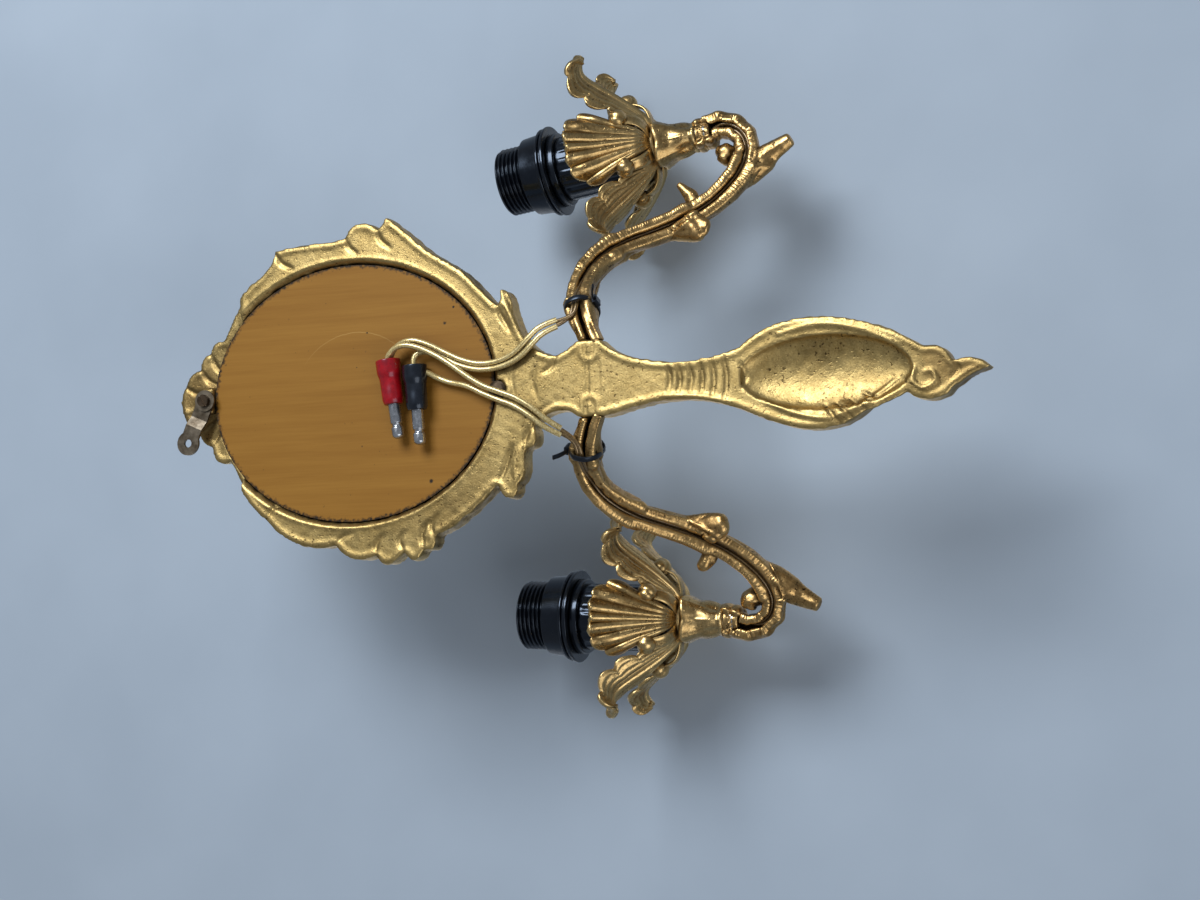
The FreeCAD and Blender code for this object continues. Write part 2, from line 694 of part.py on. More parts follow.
def cast_arm(side):
    arm = skin(sections_along(arm_stations(side), channel_section))
    stub = plain(q.stub_reach)
    inside = Part.makeBox(2.0 * stub, 60, 60, Vector(-stub, -40, -30))
    arm = arm.cut(inside).fuse(tenon(side))

    # leaf that runs on below the scroll, and the flat tongue half way down
    tip = [arm_point(side, p) for p in [(72, 48.0, -41.0), (82, 52.0, -52.5),
                                        (89, 53.5, -61.5), (93.5, 53.0, -71.0)]]
    arm = arm.fuse(blade(tip, [2.5, 4.8, 4.2, 2.6], [2.0, 3.2, 2.6, 1.8]))
    tongue = [arm_point(side, p) for p in [(60.0, 38.0, -18.0), (60.5, 38.0, -27.0),
                                           (60.0, 36.5, -35.0), (59.0, 35.5, -39.5)]]
    arm = arm.fuse(blade(tongue, [3.0, 4.4, 4.8, 2.6], [1.6, 2.0, 1.8, 1.2]))

    # pointed sprig on the outer side and the bud that ends the scroll inside
    sprig = [arm_point(side, p) for p in [(67, 44.0, -33.0), (73.5, 44.0, -30.5),
                                          (78.0, 43.5, -26.0)]]
    arm = arm.fuse(blade(sprig, [3.2, 2.4, 0.9], [2.2, 1.6, 0.8]))
    bud_at = Vector(*arm_point(side, (90.5, 55.0, -43.5)))
    arm = arm.fuse(bud(bud_at, 3.7))
    curl = [arm_point(side, p) for p in [(96.5, 56.5, -50.5), (90.0, 55.5, -48.5),
                                         (88.5, 55.0, -44.0), (91.0, 55.0, -41.8)]]
    arm = arm.fuse(blade(curl, [2.4, 2.2, 1.8, 1.2], [2.6, 2.2, 1.8, 1.2]))

    # front leaf that covers the root, seen through the gap at the waist
    root = [arm_point(side, p) for p in [(15.6, 10.4, 3.5), (22.0, 12.2, 4.9),
                                         (31.0, 16.4, 6.6), (42.0, 24.0, 5.0)]]
    arm = arm.fuse(blade(root, [1.6, 2.8, 3.4, 1.6], [1.1, 1.6, 2.0, 1.2]))

    arm = arm.cut(skin(sections_along(arm_stations(side)[3:-1], channel_void)))

    # seat for the cup, bored for the nipple
    place = candle_place(side)
    below = plain(q.nipple_below)
    foot = plain(q.nipple_radius) + plain(q.cup_foot)
    seat_block = Part.makeCone(foot - 0.8, foot, below + 2.0,
                               Vector(0, 0, -below - 2.0), Vector(0, 0, 1))
    seat_block.Placement = place
    bore = Part.makeCylinder(plain(q.nipple_radius) + plain(q.thread_play), below + 1.0,
                             Vector(0, 0, -below), Vector(0, 0, 1))
    bore.Placement = place
    above = Part.makeCylinder(foot + 20.0, 30.0, Vector(0, 0, 0), Vector(0, 0, 1))
    above.Placement = place
    arm = arm.fuse(seat_block).cut(above).cut(bore)

    # the flex leaves the channel through the underside of the seat
    route = flex_route(side)
    low, high = Vector(*route[-5]), Vector(*route[-4])
    ahead = high - low
    way = Part.makeCylinder(plain(q.flex_radius) + plain(q.flex_play), ahead.Length + 2.0,
                            low, ahead)
    return one_solid(arm.cut(way))


# ---------------------------------------------------------------- leaf pans

# A leaf of the pan as it leaves the hub: how far out, how far up and how broad, as shares of
# its reach, its rise and its half width. The first stretch lies flat, below the holder.
ACANTHUS = [(0.00, 0.00, 0.30), (0.17, 0.10, 0.42), (0.34, 0.30, 0.64), (0.52, 0.52, 1.00),
            (0.66, 0.70, 0.78), (0.81, 0.86, 0.86), (0.93, 0.98, 0.50), (1.00, 1.00, 0.14)]
SHELL = [(0.00, 0.00, 0.20), (0.40, 0.08, 0.30), (0.56, 0.26, 0.50), (0.70, 0.50, 0.80),
         (0.83, 0.74, 1.00), (0.94, 0.92, 0.92), (1.00, 1.00, 0.55)]
CURL = [(0.00, 0.00, 1.00), (0.48, 0.08, 0.90), (0.80, 0.34, 0.80), (1.00, 0.95, 0.90)]


def leaf(steps, angle, reach, rise, half_width, start_height, thick):
    """One cast leaf: lobed in plan and dished across."""
    hub = plain(q.pan_hub) - 1.6
    turn = Rotation(Vector(0, 0, 1), angle)
    rings = []
    for i, (out, up, broad) in enumerate(steps):
        here = Vector(hub + (reach - hub) * out, 0, start_height + rise * up)
        before = steps[max(i - 1, 0)]
        after = steps[min(i + 1, len(steps) - 1)]
        ahead = Vector((reach - hub) * (after[0] - before[0]), 0, rise * (after[1] - before[1]))
        ahead.normalize()
        over = Vector(-ahead.z, 0, ahead.x)
        w = half_width * broad
        half = 0.5 * thick * (1.0 - 0.45 * out)
        corners = []
        for across, lift, thin in ((-1.0, 0.24, 0.5), (-0.4, 0.04, 1.0), (0.4, 0.04, 1.0),
                                   (1.0, 0.24, 0.5)):
            spot = here + Vector(0, w * across, 0) + over * (w * lift)
            corners.append((spot + over * (half * thin), spot - over * (half * thin)))
        ring = [c[0] for c in corners] + [c[1] for c in reversed(corners)]
        rings.append([turn.multVec(c) for c in ring])
    return skin(rings)


def leaf_pan():
    """Six leaves on a bored hub, two broad shells and four acanthus leaves, with a curled
    leaf that ends in a bud between each two of them."""
    top = plain(q.cup_height)
    thick = plain(q.pan_thick)
    bore = plain(q.nipple_radius) + plain(q.thread_play)
    outside = plain(q.pan_hub)
    hub = spun([(bore, top), (outside, top), (outside, top + thick - 0.4),
                (outside - 0.4, top + thick), (bore, top + thick)])
    low = top + 0.50 * thick
    leaf_t = plain(q.leaf_thick)
    grown = []
    for angle in (90.0, 270.0):
        grown.append(leaf(SHELL, angle, plain(q.shell_reach), plain(q.shell_rise),
                          plain(q.shell_half_width), low, leaf_t))
    for angle in (30.0, 150.0, 210.0, 330.0):
        grown.append(leaf(ACANTHUS, angle, plain(q.leaf_reach), plain(q.leaf_rise),
                          plain(q.leaf_half_width), low, leaf_t))
    reach = plain(q.bud_reach)
    rise = plain(q.bud_rise)
    for k in range(6):
        angle = 60.0 * k
        grown.append(leaf(CURL, angle, reach, rise, 0.8 * plain(q.bud_radius), low - 0.3, leaf_t))
        spot = Rotation(Vector(0, 0, 1), angle).multVec(Vector(reach, 0, low + rise))
        grown.append(bud(spot, plain(q.bud_radius)))
    return one_solid(hub.multiFuse(grown))


def cap_foot():
    """The rear cap stands just above the lock nut."""
    return plain(q.cup_height) + plain(q.pan_thick) + plain(q.nut_height) + 0.4


# ---------------------------------------------------------------- pieces on the candle axis

def candle_pieces(side, pan):
    tail = "_" + side
    foot_h = q.cup_height + q.pan_thick + q.nut_height + 0.4
    cap_top = foot_h + q.cap_height
    nip = q.nipple_radius + q.thread_play

    # candle cup: a hollow bell with a bead at its foot and at its rim
    cup = turned("cup" + tail, [
        (nip, q.cup_wall * 0.0), (q.nipple_radius + q.cup_foot, q.cup_wall * 0.0),
        (q.nipple_radius + q.cup_foot + 0.6, 1.0 * q.cup_wall),
        (q.nipple_radius + q.cup_foot + 0.2, 0.30 * q.cup_height),
        (q.cup_rim - 1.2, 0.74 * q.cup_height), (q.cup_rim, 0.90 * q.cup_height),
        (q.cup_rim - 0.4, 1.0 * q.cup_height), (nip, 1.0 * q.cup_height)], side)
    keep(cup, "cup" + tail)

    feature("leaf_pan" + tail, pan, candle_place(side))

    nipple = turned("nipple" + tail, [
        (q.nipple_bore, -(q.nipple_below * 1.0)), (q.nipple_radius, -(q.nipple_below * 1.0)),
        (q.nipple_radius, q.nipple_length - q.nipple_below),
        (q.nipple_bore, q.nipple_length - q.nipple_below)], side)
    keep(nipple, "nipple" + tail)

    # lock nut: a hexagon prism with the nipple's bore
    nut = doc.addObject("Part::Prism", "nut_blank" + tail)
    nut.Polygon = 6
    nut.setExpression("Circumradius", "Sizes.nut_across / 1.7320508")
    nut.setExpression("Height", "Sizes.nut_height")
    nut.Placement = Placement(Vector(0, 0, 0), Rotation())
    nut.setExpression("Placement.Base.z", "Sizes.cup_height + Sizes.pan_thick")
    hole = doc.addObject("Part::Cylinder", "nut_bore" + tail)
    hole.setExpression("Radius", nip.text)
    hole.setExpression("Height", "Sizes.nut_height * 3")
    hole.setExpression("Placement.Base.z", "Sizes.cup_height + Sizes.pan_thick - 2")
    cut = doc.addObject("Part::Cut", "nut_cut" + tail)
    cut.Base = nut
    cut.Tool = hole
    doc.recompute()
    seat(cut, side)
    keep(cut, "lock_nut" + tail)

    # rear cap: a moulded pot that screws on the nipple, with its floor at the foot
    cap = turned("holder_cap" + tail, [
        (nip, foot_h), (q.cap_radius - 1.2, foot_h), (q.cap_radius, foot_h + 1.4),
        (q.cap_radius, cap_top), (q.cap_radius - q.cap_wall, cap_top),
        (q.cap_radius - q.cap_wall, foot_h + 6.0), (nip, foot_h + 6.0)], side)
    keep(cap, "holder_cap" + tail)

    # contact carrier: the moulded disc that stands on the cap and holds the contacts
    base_low = cap_top - 5.0
    carrier = turned("contact_carrier" + tail, [
        (q.cap_wall * 0.0, base_low), (q.cap_radius - q.cap_wall - 0.2, base_low),
        (q.cap_radius - q.cap_wall - 0.2, cap_top),
        (q.socket_radius, cap_top), (q.socket_radius, cap_top + 3.0),
        (q.cap_wall * 0.0, cap_top + 3.0)], side)
    keep(carrier, "contact_carrier" + tail)

    # threaded sleeve: shoulder, neck below the thread and the bore round the lamp shell
    sleeve_top = cap_top + q.collar_height + q.sleeve_thread
    neck = q.sleeve_radius - q.thread_rise
    bore = q.socket_radius + 0.1
    neck_top = cap_top + q.collar_height + 0.4 * q.sleeve_thread
    profile = [(bore, cap_top), (q.collar_radius, cap_top),
               (q.collar_radius, cap_top + q.collar_height), (neck, cap_top + q.collar_height),
               (neck, neck_top), (q.sleeve_radius, neck_top + q.thread_rise),
               (q.sleeve_radius, sleeve_top - q.thread_rise), (neck, sleeve_top),
               (bore + 0.8, sleeve_top), (bore, sleeve_top - 0.8)]
    sleeve = turned("holder_sleeve" + tail, profile, side)
    keep(sleeve, "holder_sleeve" + tail)

    # lamp shell of sheet brass, and the sprung tongue of the centre contact
    shell_top = sleeve_top - q.shell_sunk
    shell_low = shell_top - q.shell_height
    outside = q.shell_bore + q.shell_wall
    shell = turned("lamp_shell" + tail, [
        (q.shell_bore, shell_low), (outside, shell_low), (outside, shell_top - 0.8),
        (outside + 0.35, shell_top), (q.shell_bore, shell_top)], side)
    keep(shell, "lamp_shell" + tail)
    tongue = turned("centre_contact" + tail, [
        (q.cap_wall * 0.0, cap_top + 3.0), (q.pin_radius * 0.9, cap_top + 3.0),
        (q.pin_radius * 0.9, cap_top + 3.6), (q.pin_radius * 0.5, cap_top + 5.2),
        (q.cap_wall * 0.0, cap_top + 5.6)], side)
    keep(tongue, "centre_contact" + tail)

    # shade ring: a flange with a skirt that runs on the thread
    ring_low = cap_top + q.collar_height + 0.1
    inside = q.sleeve_radius + q.ring_play
    ring = turned("shade_ring" + tail, [
        (inside, ring_low), (q.ring_radius, ring_low),
        (q.ring_radius, ring_low + q.flange_height * 0.42),
        (q.ring_radius - 1.1, ring_low + q.flange_height * 0.56),
        (q.ring_radius - 0.7, ring_low + q.flange_height),
        (q.ring_skirt, ring_low + q.flange_height + 0.4),
        (q.ring_skirt - 0.8, ring_low + q.ring_height), (inside, ring_low + q.ring_height)],
        side)
    keep(ring, "shade_ring" + tail)


# ---------------------------------------------------------------- ties

def cable_tie(side):
    """A flat band round arm and flex, with its head and a cut-off tail."""
    here = Vector(*arm_point(side, (27.4, 9.8, 5.8)))
    ahead = Vector(*arm_point(side, (34, 14.0, 7.2))) - Vector(*arm_point(side, (24, 8, 4.6)))
    ahead.normalize()
    rise = Vector(0, 1, 0) - ahead * ahead.y
    rise.normalize()
    across = ahead.cross(rise)
    wide = plain(q.arm_half_width) * 1.06 + 0.6
    low = plain(q.arm_half_depth) * 1.06 + 3.4
    high = plain(q.arm_half_depth) + 2.0 * plain(q.flex_radius) + 0.5
    thick = plain(q.tie_thick)
    deep = plain(q.tie_wide)

    def loop(grow):
        corners = [(-0.55, -low - grow), (0.55, -low - grow), (1.0, -0.2 * low), (1.0, 0.6 * high),
                   (0.5, high + grow), (-0.5, high + grow), (-1.0, 0.6 * high),
                   (-1.0, -0.2 * low)]
        pts = []
        for s, r in corners:
            pts.append(here + across * (s * (wide + grow)) + rise * r - ahead * (0.5 * deep))
        return Part.Face(Part.makePolygon(pts + [pts[0]]))

    band = loop(thick).extrude(ahead * deep).cut(loop(0.0).extrude(ahead * deep))
    head = Part.makeBox(3.4, 3.2, 3.8)
    spot = here + across * (wide + 0.2) + rise * (0.2 * low) - ahead * 1.9
    frame = FreeCAD.Matrix(rise.x, across.x, ahead.x, spot.x,
                           rise.y, across.y, ahead.y, spot.y,
                           rise.z, across.z, ahead.z, spot.z, 0, 0, 0, 1)
    head.Placement = Placement(frame)
    sweep = loop(0.0).extrude(ahead * 9.0)
    sweep.translate(ahead * -4.0)
    head = head.cut(sweep)
    return one_solid(band.fuse(head))


# ---------------------------------------------------------------- mirror, stop and hanger

def mirror_pieces():
    centre = plain(q.mirror_centre)
    wide = plain(q.mirror_half_width)
    tall = plain(q.mirror_half_height)
    front = -plain(q.mirror_set)
    back = front + plain(q.glass_thick)
    # the glass is bevelled towards the front
    bevel = 9.0
    slab = oval_disc(wide, tall, centre, front + 1.2, back)
    face = Part.makeLoft([oval(wide, tall, centre, front + 1.2),
                          oval(wide - bevel, tall - bevel, centre, front + 0.0)], True)
    lip = plain(q.mirror_lip)
    rim = oval_disc(wide, tall, centre, front, front + 1.2)
    rim = rim.cut(oval_disc(wide - lip, tall - lip, centre, front - 1, front + 2))
    feature("mirror_glass", one_solid(slab.fuse(face).fuse(rim)))
    feature("mirror_paint", oval_disc(wide, tall, centre, back, back + plain(q.paint_thick)))
    return back + plain(q.paint_thick)


def stop_screw(paint_back):
    """Black round-headed screw; its head laps over the lower edge of the mirror."""
    r, head, shank = plain(q.stop_radius), plain(q.stop_head), plain(q.stop_shank)
    deep = paint_back + 7.0
    screw = spun([(0, -deep), (shank, -deep), (shank, 0), (r, 0), (r, 0.7 * head),
                  (0.72 * r, head), (0, 1.15 * head)])
    screw.Placement = Placement(Vector(plain(q.stop_side), paint_back, stop_height()),
                                Rotation(Vector(1, 0, 0), -90))
    return screw


def hanger():
    rise = plain(q.hanger_rise)
    r = plain(q.strap_width) / 2.0
    t = plain(q.strap_thick)
    reach = plain(q.strap_reach)
    step = plain(q.strap_step)
    gap = plain(q.stack_gap)
    # side view of the joggled strap, then its rounded ends are cut from the plan view
    low = reach * 0.42
    high = reach * 0.62
    side = [Vector(-r, gap, -r), Vector(-r, gap, low), Vector(-r, gap + step, high),
            Vector(-r, gap + step, reach + r + 2), Vector(-r, gap + step + t, reach + r + 2),
            Vector(-r, gap + step + t, high), Vector(-r, gap + t, low),
            Vector(-r, gap + t, -r)]
    bar = Part.Face(Part.makePolygon(side + [side[0]])).extrude(Vector(2 * r, 0, 0))
    tab = r * 1.3
    plan = Part.makeCylinder(r, 12, Vector(0, -4, 0), Vector(0, 1, 0))
    plan = plan.fuse(Part.makeBox(2 * r, 12, reach, Vector(-r, -4, 0)))
    round_tab = Part.makeCylinder(tab, 12, Vector(0, -4, reach), Vector(0, 1, 0))
    wide_end = Part.makeBox(2 * tab, t, 2 * tab, Vector(-tab, gap + step, reach - tab))
    bar = bar.fuse(wide_end).common(plan.fuse(round_tab))
    hole = Part.makeCylinder(plain(q.pivot_radius) + plain(q.pivot_play), 12,
                             Vector(0, -4, 0), Vector(0, 1, 0))
    nail = Part.makeCylinder(plain(q.hang_hole), 12, Vector(0, -4, reach), Vector(0, 1, 0))
    strap = one_solid(bar.cut(hole).cut(nail))
    place = Placement(Vector(0, 0, rise), Rotation(Vector(0, 1, 0), plain(q.strap_turn)))
    feature("hanger_strap", strap, place)

    w0 = gap + t + gap
    washer = Part.makeCylinder(plain(q.washer_radius), plain(q.washer_thick),
                               Vector(0, w0, rise), Vector(0, 1, 0))
    washer = washer.cut(Part.makeCylinder(plain(q.pivot_radius), 10, Vector(0, -2, rise),
                                          Vector(0, 1, 0)))
    feature("hanger_washer", washer)
    h0 = w0 + plain(q.washer_thick)
    shank = Part.makeCylinder(plain(q.pivot_radius), h0 + plain(q.pivot_depth),
                              Vector(0, -plain(q.pivot_depth), rise), Vector(0, 1, 0))
    head = Part.makeCylinder(plain(q.pivot_head_radius), plain(q.pivot_head),
                             Vector(0, h0, rise), Vector(0, 1, 0))
    slot = Part.makeBox(8, 0.8, 0.8, Vector(-4, h0 + plain(q.pivot_head) - 0.7, rise - 0.4))
    slot.rotate(Vector(0, 0, rise), Vector(0, 1, 0), 35)
    feature("hanger_screw", one_solid(shank.fuse(head.cut(slot))))


# ---------------------------------------------------------------- leads and plugs

# The four cores leave the ties in pairs, cross the back of the waist and lie on the
# mirror's back, where they end in a red and a black bullet plug. Each plug is given by its
# mouth and a point further along it; each lead by the points of its route.
PLUGS = {
    "red": ((-11.7, 3.9, 84.4), (6.4, 3.4, 82.0)),
    "black": ((-9.0, 3.9, 72.8), (11.4, 3.4, 71.6)),
}
LEADS = {
    "lead_left_red": [
        (-23.6, -0.4, 13.5), (-21.6, 1.9, 19.6), (-16.6, 2.9, 24.6), (-11.2, 2.7, 30.2),
        (-8.4, 2.4, 37.2), (-7.8, 2.2, 45.2), (-9.8, 2.0, 53.0), (-13.4, 2.2, 60.2),
        (-17.2, 3.2, 67.2), (-19.4, 4.0, 74.4), (-17.2, 3.3, 81.0), (-11.6, 2.7, 84.4),
        (-5.5, 2.4, 83.6)],
    "lead_left_black": [
        (-21.0, -0.4, 13.5), (-18.9, 1.9, 18.4), (-14.2, 2.9, 22.9), (-8.9, 2.7, 28.6),
        (-6.0, 2.4, 36.6), (-5.4, 2.2, 45.2), (-7.4, 2.0, 53.2), (-10.8, 2.0, 60.0),
        (-13.2, 2.2, 64.8), (-14.6, 2.6, 69.4), (-12.9, 3.4, 73.2), (-7.6, 3.8, 73.0),
        (-3.1, 3.75, 72.45)],
    "lead_right_red": [
        (18.9, -0.4, 12.5), (15.6, 2.0, 17.6), (10.6, 3.2, 22.8), (6.2, 3.8, 29.6),
        (3.6, 4.2, 36.6), (1.0, 4.6, 43.4), (-3.4, 4.9, 50.2), (-8.2, 5.0, 56.6),
        (-12.4, 5.1, 63.2), (-15.8, 5.6, 70.2), (-17.2, 5.9, 76.6), (-15.4, 5.5, 82.0),
        (-10.6, 5.2, 84.6), (-5.5, 5.1, 83.6)],
    "lead_right_black": [
        (21.5, -0.4, 12.5), (18.4, 2.0, 18.6), (13.4, 2.9, 24.2), (9.0, 3.0, 31.0),
        (6.5, 3.0, 38.0), (3.4, 2.8, 44.8), (0.0, 1.8, 51.4), (-1.4, 0.8, 58.6),
        (-3.6, 1.0, 64.2), (-6.1, 2.4, 67.9), (-6.6, 3.2, 71.0)],
}


def plug_place(colour):
    mouth, tail = [Vector(*p) for p in PLUGS[colour]]
    ahead = tail - mouth
    ahead.normalize()
    return Placement(mouth, Rotation(Vector(0, 0, -1), Vector(0, 0, 0), ahead, "ZXY"))


def plug_pieces(colour):
    place = plug_place(colour)
    length = plain(q.plug_length)
    big, small = plain(q.plug_mouth), plain(q.plug_tail)
    pin_r = plain(q.pin_radius)
    profile = [(small - 0.9, 0.0), (big, 0.0), (big, 0.30 * length), (small + 0.2, 0.42 * length),
               (small + 0.2, 0.9 * length), (small - 0.4, length), (pin_r, length),
               (pin_r, 0.34 * length), (small - 0.9, 0.30 * length)]
    sleeve = spun(profile)
    if colour == "black":
        # its second core comes in through a slot in the side of the mouth
        sleeve = sleeve.cut(Part.makeBox(6.0, 4.8, 5.6, Vector(1.2, -3.2, -0.5)))
    feature("plug_sleeve_" + colour, sleeve, place)
    reach = length + plain(q.pin_length)
    pin = [(0.0, 0.35 * length), (pin_r, 0.35 * length), (pin_r, reach - 6.2),
           (pin_r - 0.5, reach - 5.8), (pin_r - 0.5, reach - 5.0), (pin_r, reach - 4.6),
           (pin_r, reach - 1.6), (pin_r - 0.9, reach - 0.3), (0.0, reach)]
    feature("plug_pin_" + colour, spun(pin), place)


def spun(profile):
    pts = [Vector(r, 0, h) for r, h in profile]
    return Part.Face(Part.makePolygon(pts + [pts[0]])).revolve(Vector(0, 0, 0),
                                                               Vector(0, 0, 1), 360)


# ---------------------------------------------------------------- build everything

feature("frame_casting", cast_frame())
paint_back = mirror_pieces()
feature("mirror_stop_screw", stop_screw(paint_back))
hanger()
pan = leaf_pan()
for side in ("left", "right"):
    feature("arm_" + side, cast_arm(side))
    candle_pieces(side, pan)
    feature("flex_in_arm_" + side,
            tube("flex_in_arm_" + side, flex_route(side), plain(q.flex_radius)))
    feature("cable_tie_" + side, cable_tie(side))
for colour in ("red", "black"):
    plug_pieces(colour)
for name, route in LEADS.items():
    feature(name, tube(name, route, plain(q.core_radius)))

doc.recompute()
failed = []
for obj in doc.Objects:
    if "Invalid" in obj.State or "Error" in obj.State:
        failed.append(obj.Name)
for obj in parts:
    shape = obj.Shape
    if shape.isNull() or not shape.isValid() or len(shape.Solids) != 1:
        failed.append("%s: %d solids" % (obj.Label, len(shape.Solids)))
if failed:
    raise RuntimeError("failed: " + ", ".join(failed))

os.makedirs("parts", exist_ok=True)
triangles = 0
for obj in parts:
    obj.Shape.exportStep(os.path.join("parts", obj.Label + ".step"))
    count = len(obj.Shape.tessellate(0.1)[1])
    triangles += count
    print("%-24s %6d triangles %10.1f mm3" % (obj.Label, count, obj.Shape.Volume))
print("pieces %d, triangles %d" % (len(parts), triangles))
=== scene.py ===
# %% [markdown]
# # A girandole mirror, seen from its back
# The object is a cast brass wall sconce: an oval mirror, a stem that ends in a leaf-shaped
# drop, and two curling arms that each carry a candle cup, a pan of leaves and a small black
# lampholder. The CAD model gives every piece its place and size. Here each piece gets the
# finish that the real one has, and the pieces that are cast or bent freely get a finer mesh.

# %% Load the frame
import bpy, bmesh, json, math, random
import numpy as np
from mathutils import Matrix, Vector
from mathutils.kdtree import KDTree

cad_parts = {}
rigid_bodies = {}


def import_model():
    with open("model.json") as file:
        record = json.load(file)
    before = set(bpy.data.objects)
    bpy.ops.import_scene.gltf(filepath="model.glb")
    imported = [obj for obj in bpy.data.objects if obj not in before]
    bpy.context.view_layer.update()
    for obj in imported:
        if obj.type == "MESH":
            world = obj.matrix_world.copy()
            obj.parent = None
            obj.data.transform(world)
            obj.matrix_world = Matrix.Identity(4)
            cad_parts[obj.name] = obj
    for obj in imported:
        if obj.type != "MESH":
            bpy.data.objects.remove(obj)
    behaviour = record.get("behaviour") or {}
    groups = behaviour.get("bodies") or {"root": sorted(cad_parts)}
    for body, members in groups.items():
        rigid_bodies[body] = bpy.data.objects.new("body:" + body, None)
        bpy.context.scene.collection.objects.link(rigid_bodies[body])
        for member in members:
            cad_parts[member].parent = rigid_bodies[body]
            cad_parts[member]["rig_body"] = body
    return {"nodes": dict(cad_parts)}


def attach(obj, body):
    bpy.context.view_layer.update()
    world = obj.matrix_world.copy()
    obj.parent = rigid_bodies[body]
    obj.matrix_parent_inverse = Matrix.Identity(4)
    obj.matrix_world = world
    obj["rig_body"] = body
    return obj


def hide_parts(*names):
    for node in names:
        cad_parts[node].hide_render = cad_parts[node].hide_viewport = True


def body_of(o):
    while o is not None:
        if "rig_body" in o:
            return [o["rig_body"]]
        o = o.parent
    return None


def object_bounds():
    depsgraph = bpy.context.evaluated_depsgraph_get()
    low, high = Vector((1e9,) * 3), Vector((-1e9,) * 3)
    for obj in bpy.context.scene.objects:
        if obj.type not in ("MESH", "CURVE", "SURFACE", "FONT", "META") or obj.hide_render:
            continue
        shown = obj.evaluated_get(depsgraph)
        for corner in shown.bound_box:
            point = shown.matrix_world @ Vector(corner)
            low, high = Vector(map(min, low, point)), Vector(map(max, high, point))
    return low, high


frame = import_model()
cad_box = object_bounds()
SIDES = ("left", "right")
print("frame loaded:", len(frame["nodes"]), "nodes")


def mm(*v):
    """Millimetres to metres."""
    return Vector([c / 1000.0 for c in v])

# %% [markdown]
# ## Camera
# The sconce was photographed lying face down, from above its back, with its crest to the
# left. Its place in the frame is kept, so the camera is turned instead. Three directions say
# how it is held: to the right in the picture, up in the picture, and back out of it.

# %% Place the camera
camera_data = bpy.data.cameras.new("camera")
camera_data.sensor_width, camera_data.lens = 36.0, 66.0
camera_data.clip_start, camera_data.clip_end = 0.05, 20.0
camera = bpy.data.objects.new("camera", camera_data)
picture_right = Vector((0.0189, -0.3446, -0.9386)).normalized()
picture_up = Vector((-0.9965, 0.0704, -0.0459)).normalized()
out_of_picture = picture_right.cross(picture_up).normalized()
picture_up = out_of_picture.cross(picture_right)
turned = Matrix((picture_right, picture_up, out_of_picture)).transposed().to_4x4()
camera.matrix_world = Matrix.Translation(mm(97.4, 792.4, -293.1)) @ turned
bpy.context.scene.collection.objects.link(camera)
bpy.context.scene.camera = camera
print("camera at", [round(c, 3) for c in camera.location])

# %% [markdown]
# ## Node helpers
# A finish is a small tree of nodes. These helpers keep the trees readable: one adds a node
# and sets its inputs by name, one joins two sockets, and one turns a noise into a ramp of
# colours. All textures read Object coordinates, which are metres here, so a scale of 1000 is
# one pattern cell per millimetre.

# %% Helpers for materials
def srgb(r, g, b):
    """A colour as a paint chart gives it, 0 to 255, turned into the renderer's own scale."""
    def line(c):
        c /= 255.0
        return c / 12.92 if c <= 0.04045 else ((c + 0.055) / 1.055) ** 2.4
    return (line(r), line(g), line(b), 1.0)


